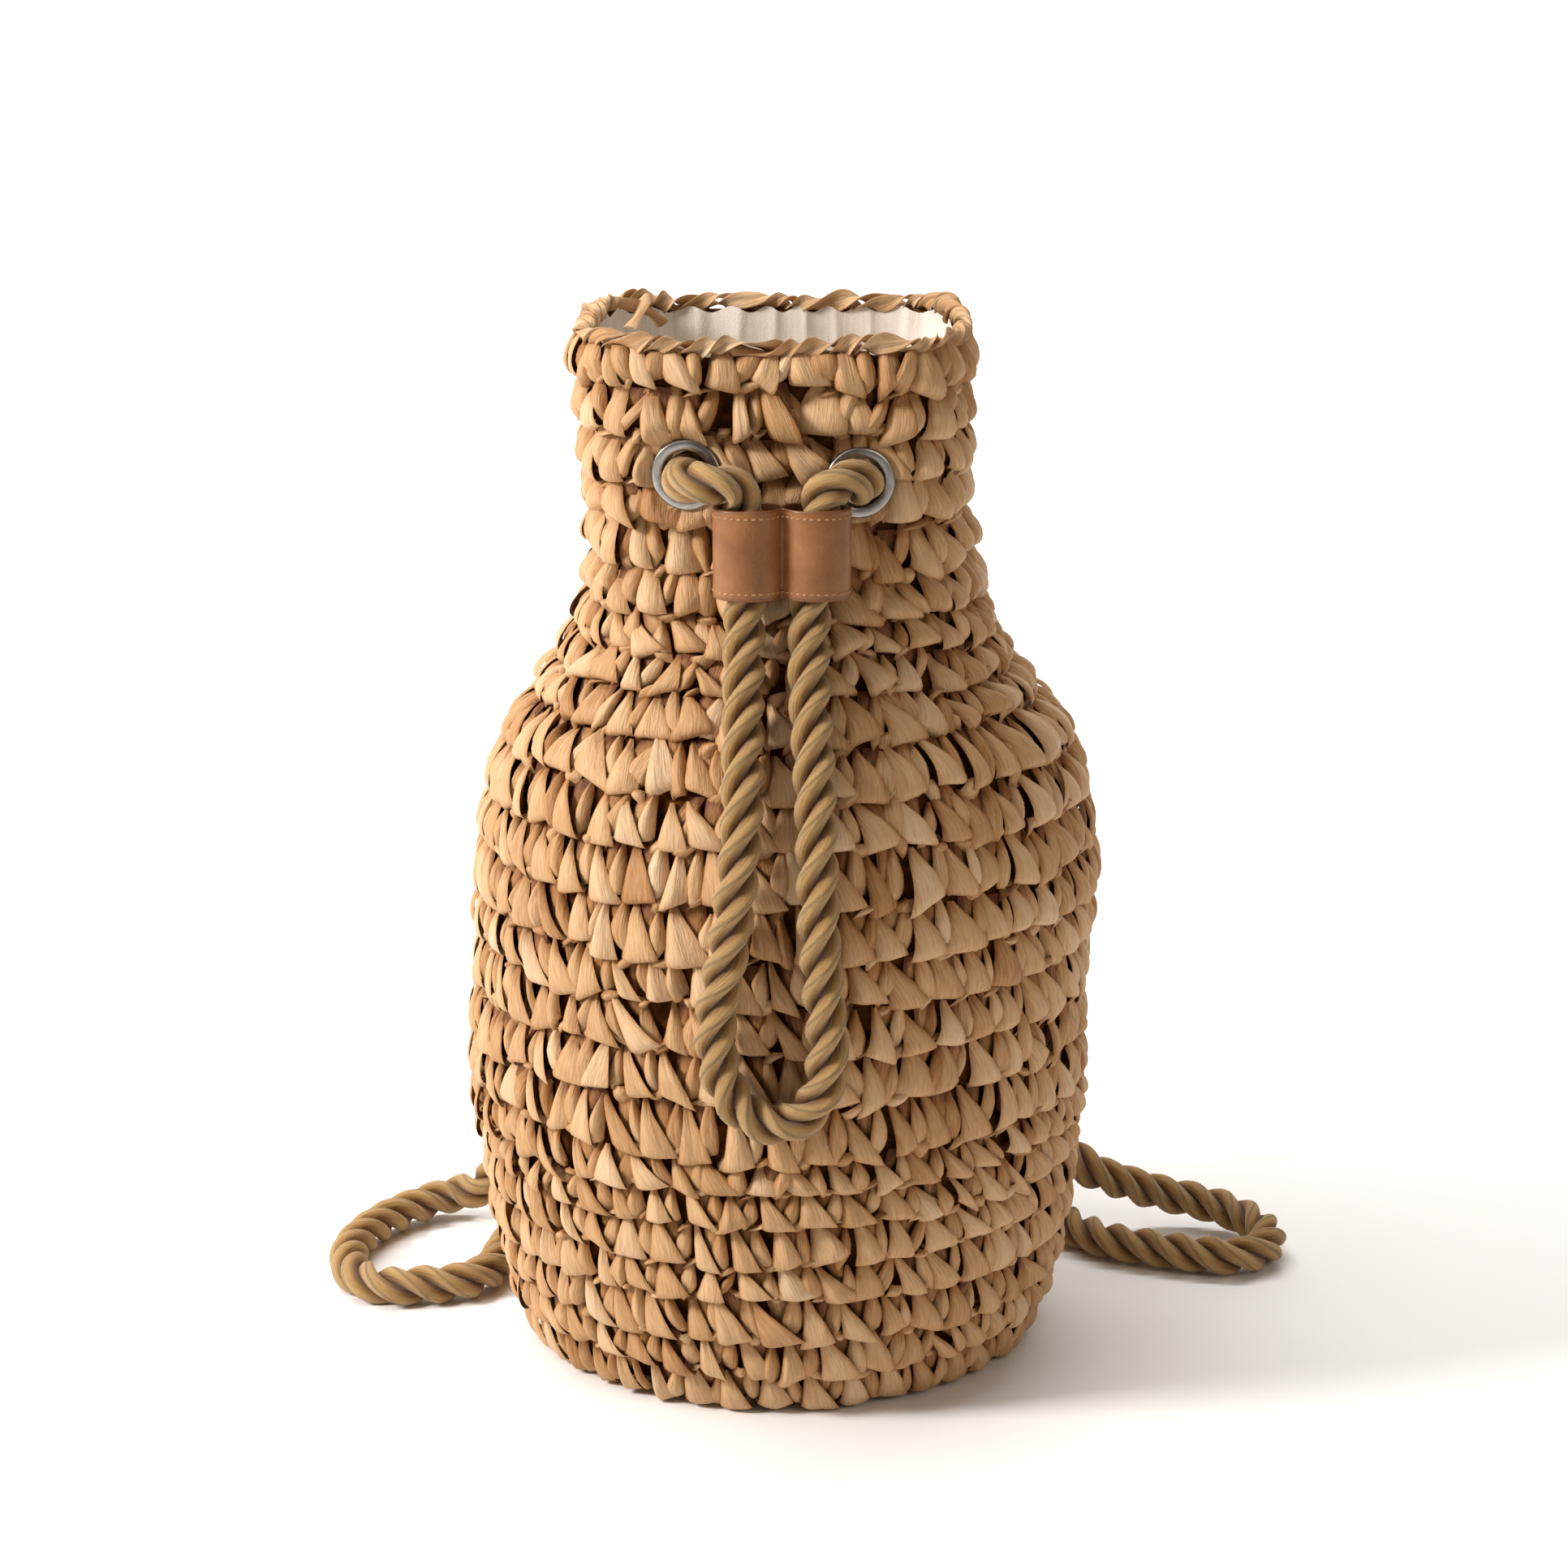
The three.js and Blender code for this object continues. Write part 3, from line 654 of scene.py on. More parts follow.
# How much a leaf differs from its table: metres, or shares for width, up and shift
LEAF_SPREADS = {"width": 0.1, "lean": 0.0011, "up": 0.05, "shift": 0.05, "slope": 0.0014,
                "lift": 0.0005, "twist": 0.0008}
STITCH_SIZE_SPREAD = 0.08
STITCH_SIZE_LIMITS = (0.8, 1.3)
STITCH_LEAN_SPREAD = 0.0016
STITCH_SHIFT_SPREAD = 0.0009
FEWEST_STITCHES = 4
TINT_SPREAD = 0.14
TINT_LIMITS = (0.02, 1)
# Painted shade: each leaf's tip is darkened from TIP_START on, where it tucks into the gap above.
TIP_PAINTED_SHADE = 0.4
TIP_START = 0.72
# Painted shade: each leaf is darkened towards its left and right edges, where they curl under.
EDGE_PAINTED_SHADE = 0.4
EDGE_PAINTED_SHADE_POWER = 5
CURL_POWER = 3.6
LEAF_SLOPE = 0.0003
LEAF_FOLD = 0.0016
LEAF_FOLD_REACH = 0.5
CREASE = 0.0003
CREASES_ACROSS = 3.4
LEAF_DEPTH = 0.0022
CHAIN_HEIGHT = 0.3735

# A ribbon is longer than its round is high, and each is cut from another place of the texture.
LEAF_STRETCH = 1300
TEXTURE_REACH = 500

COLUMN_STEPS = 61
COLUMN_SMOOTHING = 2.5

chance = np.random.default_rng(7)


def smooth_column(table, column, steps):
    """A leaf table's column between its rows, on a curve with eased corners."""
    fine = np.linspace(0, 1, COLUMN_STEPS)
    values = np.interp(fine, table["step"], table[column])
    return np.interp(steps, fine, smoothed(values, COLUMN_SMOOTHING))


def round_edge(along, restless):
    """A place along the wall where two rounds meet, and the waves it makes on its way round."""
    waves = [(count, size * restless, chance.random() * 2 * math.pi) for count, size in ROUND_WAVES]
    return {"along": along, "waves": waves}


def edge_places(edge, share):
    """How far along the wall an edge is, at shares of the way round."""
    return edge["along"] + sum(size * np.sin(2 * math.pi * count * share + start)
                               for count, size, start in edge["waves"])


def ring_columns(ring, places):
    """The skin's columns at distances round a ring."""
    return np.interp(places % ring[-1], ring, np.arange(SAMPLE_TURNS + 1.0))


def add_leaves(piece, kind, ring, stitches, style):
    """One leaf of a kind for each stitch of a round, or for the kind's share of them."""
    chosen = chance.random(len(stitches["centre"])) < kind["share"]
    count = int(chosen.sum())
    centre, low, high, size, lean = (
        per_stitch(stitches[name][chosen]) for name in ("centre", "low", "high", "size", "lean"))
    own = {name: per_stitch(chance.normal(0, spread * style["unrest"], count))
           for name, spread in LEAF_SPREADS.items()}
    steps = np.linspace(0, 1, kind["rows"])[None, :, None]
    bend = np.linspace(-1, 1, kind["columns"])[None, None, :]
    column = {name: smooth_column(kind["table"], name, steps)
              for name in ("left", "right", "up", "out")}
    middle = (column["left"] + column["right"]) / 2 * size
    half = (column["right"] - column["left"]) / 2 * size * (1 + own["width"])
    across = middle + half * bend + (lean + own["lean"]) * (2 * steps - 1)
    rise = column["up"] + own["up"] * steps + own["shift"]
    along = low + rise * (high - low) + (own["slope"] + LEAF_SLOPE) * bend * (1 - steps)
    along = np.minimum(along, skin.along_at(CHAIN_HEIGHT))
    curl = np.where(bend < 0, kind["curl"][0], kind["curl"][1]) * np.abs(bend) ** CURL_POWER
    starts = per_stitch(chance.random(count) * 2 * math.pi)
    fold_place = per_stitch(chance.uniform(-LEAF_FOLD_REACH, LEAF_FOLD_REACH, count))
    fold = LEAF_FOLD * per_stitch(chance.random(count)) * np.abs(bend - fold_place)
    crease = CREASE * np.sin(CREASES_ACROSS * bend + starts) - fold
    out = column["out"] * style["puff"] - style["inset"] + own["lift"] - curl * size + crease
    out = np.maximum(out + own["twist"] * bend * (1 - steps), -LEAF_DEPTH)
    out = out - UNDER_INSET * np.clip((UNDER_EASE - along) / (2 * UNDER_EASE), 0, 1)
    points = skin.place(along, ring_columns(ring, centre + across), out)
    points, outside = pressed(points, LEAF_ROOM)
    points[..., 2] = np.maximum(points[..., 2], FLOOR_GAP)
    cut_across, cut_along = (per_stitch(chance.random(count) * TEXTURE_REACH) for _ in range(2))
    place_across = half * bend * TO_MILLIMETRES + cut_across
    place_along = steps * (high - low) * LEAF_STRETCH + cut_along
    tints = per_stitch(chance.normal(kind["tint"], TINT_SPREAD, count).clip(*TINT_LIMITS))
    # Painted shade darkens each leaf's tip and its edges.
    tints = tints - TIP_PAINTED_SHADE * np.clip(steps - TIP_START, 0, 1) / (1 - TIP_START)
    tints = tints - EDGE_PAINTED_SHADE * np.abs(bend) ** EDGE_PAINTED_SHADE_POWER
    piece.add(points, place_across, place_along, tints, closed=False, keep=outside)


def add_round(piece, low, high, style):
    ring = skin.ring((low["along"] + high["along"]) / 2)
    count = max(int(round(ring[-1] / STITCH_PITCH)), FEWEST_STITCHES)
    centres = (np.arange(count) + chance.random()) * ring[-1] / count
    centres = (centres + chance.normal(0, STITCH_SHIFT_SPREAD, count)) % ring[-1]
    sizes = chance.normal(1, STITCH_SIZE_SPREAD * style["unrest"], count).clip(*STITCH_SIZE_LIMITS)
    stitches = {
        "centre": centres,
        "low": edge_places(low, centres / ring[-1]),
        "high": edge_places(high, centres / ring[-1]),
        "size": style["size"] * sizes,
        "lean": chance.normal(0, STITCH_LEAN_SPREAD * style["unrest"], count),
    }
    for kind in reversed(style["leaves"]):
        add_leaves(piece, kind, ring, stitches, style)


def round_edges():
    """The edges between the rounds, from the middle of the base to the rim."""
    start = skin.along[0] + UNDER_START
    under = [start - start * index / UNDER_ROUNDS for index in range(UNDER_ROUNDS + 1)]
    walls = [float(skin.along_at(height)) for height in ROUND_TOPS]
    restless = [0] * len(under) + [1] * (len(walls) - 1) + [0]
    return [round_edge(along, each) for along, each in zip(under + walls, restless)]


# unrest is how unlike its stitches are, puff how far they stand out, inset how deep they sit and
# size how wide they are, against the rest. leaves is the set that each stitch is made of.
STYLE = ("name", "rounds", "nodes", "unrest", "puff", "inset", "size", "leaves")
STRAW_PIECES = [dict(zip(STYLE, values)) for values in (
    ("stitches_under", (0, 6), ["straw_base"], 0.7, 0.8, 0, 1, FINS),
    ("stitches_lower", (6, 14), ["straw_base", "straw_body"], 1, 1, 0, 1, FINS),
    ("stitches_upper", (14, 20), ["straw_body", "straw_shoulder"], 1.1, 1, 0, 1.02, FINS),
    ("stitches_shoulder", (20, 24), ["straw_shoulder", "straw_neck"], 1.2, 1.1, 0.0008, 1.06, FINS),
    ("stitches_neck", (24, 30), ["straw_neck"], 1.5, 1.4, 0.0016, 1.1, PLUMP),
)]


def add_stitches():
    edges = round_edges()
    for style in STRAW_PIECES:
        patches = Patches()
        for index in range(*style["rounds"]):
            add_round(patches, edges[index], edges[index + 1], style)
        patches.build(style["name"], "straw", "straw", *style["nodes"])


# The dark sheet behind the stitches: painted shade for the gaps between them

BACKING_DEPTH = 0.0027
BACKING_ROUGHNESS = 0.0008
BACKING_DEPTH_UNDER = 0.002
BACKING_FLOOR = 0.0062
BACKING_TOP = 0.3718
BACKING_ROWS = 140
BACKING_TINT = 0.1


def add_painted_shade_sheet():
    along = np.linspace(skin.along[0], float(skin.along_at(BACKING_TOP)), BACKING_ROWS)
    along, column = np.meshgrid(along, np.arange(0, SAMPLE_TURNS, 1.0), indexing="ij")
    depth = -BACKING_DEPTH - chance.random(along.shape) * BACKING_ROUGHNESS
    depth = np.where(along < 0, -BACKING_DEPTH_UNDER, depth)
    points = skin.place(along, column, depth)
    points[:, :, 2] = np.maximum(points[:, :, 2], BACKING_FLOOR)
    points, outside = pressed(points, BACKING_ROOM)
    patches = Patches().add(points, column, along * TO_MILLIMETRES, BACKING_TINT, keep=outside)
    patches.build("painted_shade_sheet", "shade_backing", "straw", *STRAW_NODES)


# The chain round the rim: two flat ribbons, twisted round each other on top of the last round

CHAIN_STRANDS = 2
CHAIN_LAY = 0.026
CHAIN_STEP = 0.0012
CHAIN_OUT = -0.0022
CHAIN_RISE = 0.0014
CHAIN_OFFSET = 0.0013
CHAIN_WIDTH = 0.0066
CHAIN_THICKNESS = 0.0013
CHAIN_SIDES = 12
CHAIN_TINT = 0.6
CHAIN_TEXTURE_SHIFT = 90

# How often something about the chain varies on its way round, and how far
CHAIN_WAVES = (3, 7, 11, 19)
CHAIN_WANDER = 0.0009
CHAIN_SPREADS = {"wind": 0.9, "thick": 0.25, "wide": 0.26, "tint": 0.16}


def wandering(share):
    """A value that wanders between about -1 and 1 on its way round and meets itself."""
    waves = [np.sin(2 * math.pi * (count * share + chance.random())) for count in CHAIN_WAVES]
    return sum(waves) / len(waves) ** 0.5


def add_rim_chain():
    patches = Patches()
    top = float(skin.along_at(CHAIN_HEIGHT))
    ring = skin.ring(top)
    count = int(round(ring[-1] / CHAIN_STEP))
    share = np.arange(count) / count
    spot = ring_columns(ring, share * ring[-1])
    line = skin.place(np.full(count, top), spot, CHAIN_OUT + CHAIN_WANDER * wandering(share))
    line = line + (CHAIN_RISE + CHAIN_WANDER * wandering(share))[:, None] * UP
    outward = unit(np.cross(np.roll(line, -1, axis=0) - np.roll(line, 1, axis=0), UP))
    lays = round(ring[-1] / CHAIN_LAY)
    turns = circle(CHAIN_SIDES)
    run = np.arange(count + 1) * ring[-1] / count * TO_MILLIMETRES
    for strand in range(CHAIN_STRANDS):
        wind = 2 * math.pi * (lays * share + strand / CHAIN_STRANDS)
        wind = wind + CHAIN_SPREADS["wind"] * wandering(share)
        toward, aside = wound(wind, outward, UP), wound(wind, UP, -outward)
        middle = line + toward * CHAIN_OFFSET
        thick = CHAIN_THICKNESS / 2 * (1 + CHAIN_SPREADS["thick"] * wandering(share))[:, None, None]
        wide = CHAIN_WIDTH / 2 * (1 + CHAIN_SPREADS["wide"] * wandering(share))[:, None, None]
        grid = (middle[:, None] + toward[:, None] * np.cos(turns)[None, :, None] * thick
                + aside[:, None] * np.sin(turns)[None, :, None] * wide)
        grid = np.concatenate([grid, grid[:1]])
        tints = CHAIN_TINT + CHAIN_SPREADS["tint"] * wandering(np.append(share, 1.0))[:, None]
        girth = turns * CHAIN_WIDTH / math.pi * TO_MILLIMETRES + strand * CHAIN_TEXTURE_SHIFT
        patches.add(grid, girth, run[:, None], tints)
    patches.build("rim_chain", "straw", "straw", "straw_neck")


# Two loose ribbon ends, crossed at the rim's left rear corner

LOOSE_ENDS = [
    [(-0.0580, 0.012, 0.3805), (-0.0525, 0.016, 0.3785),
     (-0.0465, 0.022, 0.3745), (-0.0425, 0.026, 0.370)],
    [(-0.0480, 0.020, 0.3825), (-0.0495, 0.017, 0.380),
     (-0.0510, 0.012, 0.3765), (-0.0540, 0.006, 0.3725)],
]
LOOSE_WIDTH = 0.0042
LOOSE_TEXTURE = (2, 18)
LOOSE_GRID = (13, 6)
LOOSE_SWELL = 0.25
LOOSE_WAVES = 9
LOOSE_ARCH = 0.0009
LOOSE_FACING = np.array([-0.35, -0.9, 0.2])
LOOSE_TINT = 0.66


def spline_points(route, count):
    """Points on a smooth curve through a route."""
    route = np.asarray(route, float)
    ends = np.concatenate([[2 * route[0] - route[1]], route, [2 * route[-1] - route[-2]]])
    shade_mottle = np.concatenate([[0], np.cumsum(np.linalg.norm(np.diff(ends, axis=0), axis=1) ** 0.5)])
    places = np.interp(np.linspace(0, len(route) - 1, count), np.arange(len(route)), shade_mottle[1:-1])
    index = np.clip(np.searchsorted(shade_mottle, places, side="right") - 1, 1, len(route) - 1)
    span = [shade_mottle[index + shift] for shift in (-1, 0, 1, 2)]
    corner = [ends[index + shift] for shift in (-1, 0, 1, 2)]

    def blend(a, b, low, high):
        share = ((places - low) / (high - low))[:, None]
        return a * (1 - share) + b * share

    first = [blend(corner[i], corner[i + 1], span[i], span[i + 1]) for i in range(3)]
    second = [blend(first[i], first[i + 1], span[i], span[i + 2]) for i in range(2)]
    return blend(second[0], second[1], span[1], span[2])


def add_loose_ends():
    patches = Patches()
    steps, sides = np.linspace(0, 1, LOOSE_GRID[0]), np.linspace(-1, 1, LOOSE_GRID[1])
    for route in LOOSE_ENDS:
        line = spline_points(route, len(steps))
        direction = unit(np.gradient(line, axis=0))
        across = unit(np.cross(direction, LOOSE_FACING))
        facing = np.cross(across, direction)
        half = LOOSE_WIDTH / 2 * (1 - LOOSE_SWELL * np.cos(steps * LOOSE_WAVES))[:, None, None]
        arch = -LOOSE_ARCH * sides[None, :, None] ** 2
        grid = line[:, None] + half * sides[None, :, None] * across[:, None] + arch * facing[:, None]
        across, along = sides * LOOSE_TEXTURE[0], steps[:, None] * LOOSE_TEXTURE[1]
        patches.add(grid, across, along, LOOSE_TINT, closed=False)
    patches.build("loose_ribbon_ends", "straw", "straw", "straw_neck")


# The lining: a pouch a little inside the straw, gathered in soft folds at its stitched top edge

LINING_DEPTH = 0.005
LINING_FLOOR = 0.0092
LINING_TOP = 0.3722
LINING_STEP = 0.003
LINING_FOLDS = 31
LINING_FOLD_DEPTH = 0.0014
LINING_FOLD_REACH = 0.05
LINING_FOLD_POWER = 0.6
LINING_FOLD_LEFT = 0.25
LINING_BILLOW = 0.0012
LINING_SCALLOP = 0.0012
LINING_TUCK = 0.0012
LINING_EDGE_POWER = 8
CORNER_EASE = 0.0014
CORNER_REACH = 0.012

# Two waves move the folds off even spacing: how far, how often round, from where, how slanted.
FOLD_WAVES = [(0.6, 3, 1, 0), (0.5, 5, 0, 2)]
BILLOWS_ROUND = 7
BILLOWS_DOWN = 9

# Near its top edge the lining has finer rows.
FINE_REACH = 0.03
FINE_ROWS = 20


def add_lining():
    start, top = skin.along[0], float(skin.along_at(LINING_TOP))
    fine = top - FINE_REACH
    along = np.concatenate([np.arange(start, fine, LINING_STEP), np.linspace(fine, top, FINE_ROWS)])
    along, column = np.meshgrid(along, np.arange(0, SAMPLE_TURNS, 0.5), indexing="ij")
    turn = column / SAMPLE_TURNS * 2 * math.pi
    below = np.clip((top - along) / LINING_FOLD_REACH, 0, 1)
    at_edge = (1 - below) ** LINING_EDGE_POWER
    wander = sum(size * np.sin(count * turn + start + slant * below)
                 for size, count, start, slant in FOLD_WAVES)
    fold = np.abs(np.sin(LINING_FOLDS / 2 * turn + wander)) ** LINING_FOLD_POWER
    depth = LINING_DEPTH + LINING_FOLD_DEPTH * (1 - fold) * (1 - (1 - LINING_FOLD_LEFT) * below)
    depth = depth + LINING_BILLOW * np.sin(BILLOWS_ROUND * turn + BILLOWS_DOWN * below) * below
    depth = depth - LINING_TUCK * at_edge + CORNER_EASE * np.exp(-(along / CORNER_REACH) ** 2)
    points = skin.place(along, column, -depth)
    points[:, :, 2] = np.maximum(points[:, :, 2], LINING_FLOOR)
    points[:, :, 2] += LINING_SCALLOP * np.sin(LINING_FOLDS * turn + 2 * wander) * at_edge
    points, outside = pressed(points)
    girth = column * (skin.ring(top)[-1] / SAMPLE_TURNS) * TO_MILLIMETRES
    patches = Patches().add(points, girth, along * TO_MILLIMETRES, PLAIN_TINT, keep=outside)
    piece = patches.build("cotton_lining", "lining", "lining", "lining")


# The eyelets: a tube with a flat-rolled ring outside and a plain flange inside

EYELET_SIDES = 64
EYELET_TEXTURE = 12
RING_STEPS = 14

# The inner flange, each point from the outer or the bore radius and above the tube's inner end
INNER_FLANGE_POINTS = [
    ("outer", -0.0003, 0), ("outer", 0, 0.0004), ("outer", -0.0005, 0.001), ("bore", 0.0012, 0.001),
]
TUBE_WALL = 0.001
TUBE_UNDER_RING = 0.0018
BORE_UNDER_RING = 0.003
RING_OVERLAP = 0.35
RING_HEIGHT = 0.0014
RING_FLATNESS = 0.4


def eyelet_profile(eyelet):
    """Distance from the axis and depth below the outer face, from the inner flange round."""
    bore, outer, length = eyelet["bore"], eyelet["outer"], eyelet["length"]
    profile = [(eyelet[edge] + aside, -length + rise) for edge, aside, rise in INNER_FLANGE_POINTS]
    profile.append((bore + TUBE_WALL, -TUBE_UNDER_RING))
    for step in range(RING_STEPS + 1):
        turn = -RING_OVERLAP + (math.pi + 2 * RING_OVERLAP) * step / RING_STEPS
        across = (bore + outer) / 2 + (outer - bore) / 2 * math.cos(turn)
        crown = math.copysign(abs(math.sin(turn)) ** RING_FLATNESS, math.sin(turn))
        profile.append((across, -RING_HEIGHT + RING_HEIGHT * crown))
    return profile + [(bore, -BORE_UNDER_RING), (bore, -length), profile[0]]


def add_eyelets():
    turns = circle(EYELET_SIDES)
    for name, eyelet in EYELETS.items():
        sideways, upwards = across_eyelet(eyelet)
        ring = wound(turns, sideways, upwards)
        profile = eyelet_profile(eyelet)
        grid = np.array([eyelet["face"] + across * ring + depth * eyelet["outward"]
                         for across, depth in profile])
        rows = np.arange(len(profile))[:, None]
        patches = Patches().add(grid, rows, turns * EYELET_TEXTURE, PLAIN_TINT)
        patches.build("satin_" + name, "eyelet_metal", "eyelet_metal", name)


# The rope. Its route's points repeat the part's, in metres. The left strap, the front loop and the
# right strap are laid as one line, so that the strands run on from one to the next.

DRAWSTRING_ROUTE = [
    (-0.0316, -0.0578, 0.3313), (-0.0336, -0.0675, 0.3309), (-0.0315, -0.0754, 0.3312),
    (-0.0267, -0.0793, 0.3315), (-0.0204, -0.0802, 0.3313), (-0.0150, -0.0783, 0.3285),
    (-0.0128, -0.0769, 0.3230), (-0.0131, -0.0769, 0.3140), (-0.0124, -0.0769, 0.2910),
    (-0.0126, -0.0803, 0.2780), (-0.0128, -0.0895, 0.2625), (-0.0130, -0.0990, 0.2495),
    (-0.0131, -0.1138, 0.2270), (-0.0150, -0.1202, 0.2030), (-0.0182, -0.1216, 0.1790),
    (-0.0223, -0.1206, 0.1530), (-0.0192, -0.1209, 0.1320), (-0.0095, -0.1222, 0.1208),
    (0.0025, -0.1224, 0.1190), (0.0120, -0.1218, 0.1268), (0.0154, -0.1214, 0.1420),
    (0.0138, -0.1221, 0.1680), (0.0124, -0.1222, 0.1910), (0.0118, -0.1167, 0.2170),
    (0.0108, -0.1042, 0.2420), (0.0096, -0.0910, 0.2605), (0.0094, -0.0805, 0.2780),
    (0.0102, -0.0769, 0.2910), (0.0131, -0.0769, 0.3140), (0.0127, -0.0769, 0.3220),
    (0.0150, -0.0774, 0.3280), (0.0194, -0.0767, 0.3310), (0.0239, -0.0744, 0.3314),
    (0.0269, -0.0706, 0.3301), (0.0276, -0.0655, 0.3286), (0.0259, -0.0579, 0.3286),
]
STRAP_LEFT_ROUTE = [
    (-0.0314, -0.0573, 0.3313), (-0.0296, -0.0495, 0.3316), (-0.0306, -0.0432, 0.3316),
    (-0.0346, -0.0389, 0.3310), (-0.0405, -0.0368, 0.3300), (-0.0480, -0.0320, 0.3275),
    (-0.0535, -0.0190, 0.3245), (-0.0555, -0.0010, 0.3225), (-0.0535, 0.0180, 0.3235),
    (-0.0475, 0.0310, 0.3260), (-0.0385, 0.0375, 0.3285), (-0.0315, 0.0398, 0.3298),
    (-0.0276, 0.0437, 0.3303), (-0.0268, 0.0500, 0.3303), (-0.0291, 0.0624, 0.3300),
    (-0.0316, 0.0780, 0.3270), (-0.0336, 0.0880, 0.3170), (-0.0360, 0.0915, 0.2900),
    (-0.0400, 0.0990, 0.2560), (-0.0460, 0.1095, 0.2200), (-0.0550, 0.1145, 0.1780),
    (-0.0700, 0.1145, 0.1260), (-0.0830, 0.1130, 0.0890), (-0.0980, 0.1070, 0.0530),
    (-0.1100, 0.0995, 0.0270), (-0.1195, 0.0970, 0.0145), (-0.1315, 0.1005, 0.0100),
    (-0.1440, 0.0940, 0.0080), (-0.1556, 0.0800, 0.0076), (-0.1645, 0.0600, 0.0076),
    (-0.1675, 0.0390, 0.0076), (-0.1617, 0.0170, 0.0076), (-0.1500, 0.0080, 0.0076),
    (-0.1360, 0.0090, 0.0076), (-0.1210, 0.0130, 0.0076), (-0.1115, 0.0250, 0.0076),
    (-0.1070, 0.0500, 0.0076), (-0.0990, 0.0730, 0.0085), (-0.0860, 0.0910, 0.0160),
    (-0.0710, 0.1015, 0.0280), (-0.0593, 0.0992, 0.0355), (-0.0545, 0.0913, 0.0375),
    (-0.0489, 0.0820, 0.0396),
]
STRAP_RIGHT_ROUTE = [
    (0.0257, -0.0574, 0.3286), (0.0242, -0.0500, 0.3288), (0.0250, -0.0436, 0.3288),
    (0.0288, -0.0393, 0.3284), (0.0346, -0.0372, 0.3277), (0.0430, -0.0325, 0.3255),
    (0.0488, -0.0195, 0.3235), (0.0508, 0.0000, 0.3225), (0.0488, 0.0180, 0.3235),
    (0.0430, 0.0310, 0.3260), (0.0345, 0.0378, 0.3285), (0.0283, 0.0400, 0.3298),
    (0.0247, 0.0440, 0.3303), (0.0240, 0.0500, 0.3303), (0.0268, 0.0623, 0.3300),
    (0.0298, 0.0780, 0.3270), (0.0316, 0.0880, 0.3170), (0.0335, 0.0915, 0.2900),
    (0.0375, 0.0995, 0.2560), (0.0435, 0.1110, 0.2200), (0.0530, 0.1170, 0.1780),
    (0.0680, 0.1165, 0.1260), (0.0810, 0.1115, 0.0920), (0.0940, 0.1020, 0.0620),
    (0.1070, 0.0900, 0.0410), (0.1215, 0.0820, 0.0275), (0.1345, 0.0850, 0.0210),
    (0.1485, 0.0880, 0.0155), (0.1610, 0.0870, 0.0130), (0.1734, 0.0830, 0.0110),
    (0.1840, 0.0750, 0.0090), (0.1900, 0.0610, 0.0077), (0.1865, 0.0460, 0.0076),
    (0.1750, 0.0385, 0.0076), (0.1600, 0.0410, 0.0076), (0.1440, 0.0470, 0.0076),
    (0.1280, 0.0550, 0.0076), (0.1135, 0.0710, 0.0078), (0.1000, 0.0890, 0.0120),
    (0.0830, 0.1010, 0.0215), (0.0700, 0.1040, 0.0295), (0.0594, 0.0994, 0.0355),
    (0.0545, 0.0914, 0.0375), (0.0489, 0.0820, 0.0397),
]
ROPE_LAY = 0.0375
STRANDS = 3
STRAND_RADIUS = 0.0037
STRAND_OFFSET = 0.00378
STRAND_SIDES = 14
RING_STEP = 0.0016
LAID_POINTS = 900
LAID_POINTS_FRONT = 700

# The yarns in a strand: how much texture goes round it, how steeply it slants and how far one
# strand's is from the next one's. Painted shade darkens the grooves between the strands, and painted light
# brightens their crests.
YARN_GIRTH = 25
YARN_SLANT = 0.42
YARN_SHIFT = 40
GROOVE_PAINTED_SHADE = 0.35
CREST_PAINTED_LIGHT = 0.9


def even_points(line, step):
    """A line's points moved to even steps along it."""
    lengths = lengths_along(line)
    places = np.linspace(0, lengths[-1], max(int(round(lengths[-1] / step)), 2) + 1)
    return np.stack([np.interp(places, lengths, line[:, axis]) for axis in range(3)], axis=1)


def carried_frames(line):
    """Two directions square to the line at each point, carried along it without twist."""
    direction = unit(np.gradient(line, axis=0))
    side = np.cross(direction[0], UP)
    side /= np.linalg.norm(side)
    sides = []
    for heading in direction:
        side = side - (side @ heading) * heading
        side = side / np.linalg.norm(side)
        sides.append(side)
    return np.array(sides), np.cross(direction, sides)


def lay_strands(line, sides, ups, distance, size=1.0):
    """The strands of one stretch of rope, as one set of patches with closed ends."""
    patches = Patches()
    turns = circle(STRAND_SIDES)
    run = np.concatenate([distance[:1], distance, distance[-1:]])[:, None] * TO_MILLIMETRES
    # Painted shade in the grooves between the strands, painted light on their crests
    tints = np.clip(GROOVE_PAINTED_SHADE + CREST_PAINTED_LIGHT * np.cos(turns), 0, 1)
    for strand in range(STRANDS):
        wind = 2 * math.pi * (distance / ROPE_LAY + strand / STRANDS)
        toward, aside = wound(wind, sides, ups), wound(wind, ups, -sides)
        middle = line + toward * STRAND_OFFSET * size
        ring = wound(turns, toward[:, None], aside[:, None])
        grid = middle[:, None] + ring * STRAND_RADIUS * size
        caps = [np.repeat(middle[end, None, None], STRAND_SIDES, axis=1) for end in (0, -1)]
        grid = np.concatenate([caps[0], grid, caps[1]])
        yarn = turns / (2 * math.pi) * YARN_GIRTH + run * YARN_SLANT + strand * YARN_SHIFT
        patches.add(grid, yarn, run, tints)
    return patches


CORDS = [
    {"name": "strap_left", "length": 0.803, "exit": STRAP_LEFT_ROUTE[0]},
    {"name": "drawstring", "length": 0.530, "exit": DRAWSTRING_ROUTE[0]},
    {"name": "strap_right", "length": 0.777, "exit": STRAP_RIGHT_ROUTE[0]},
]


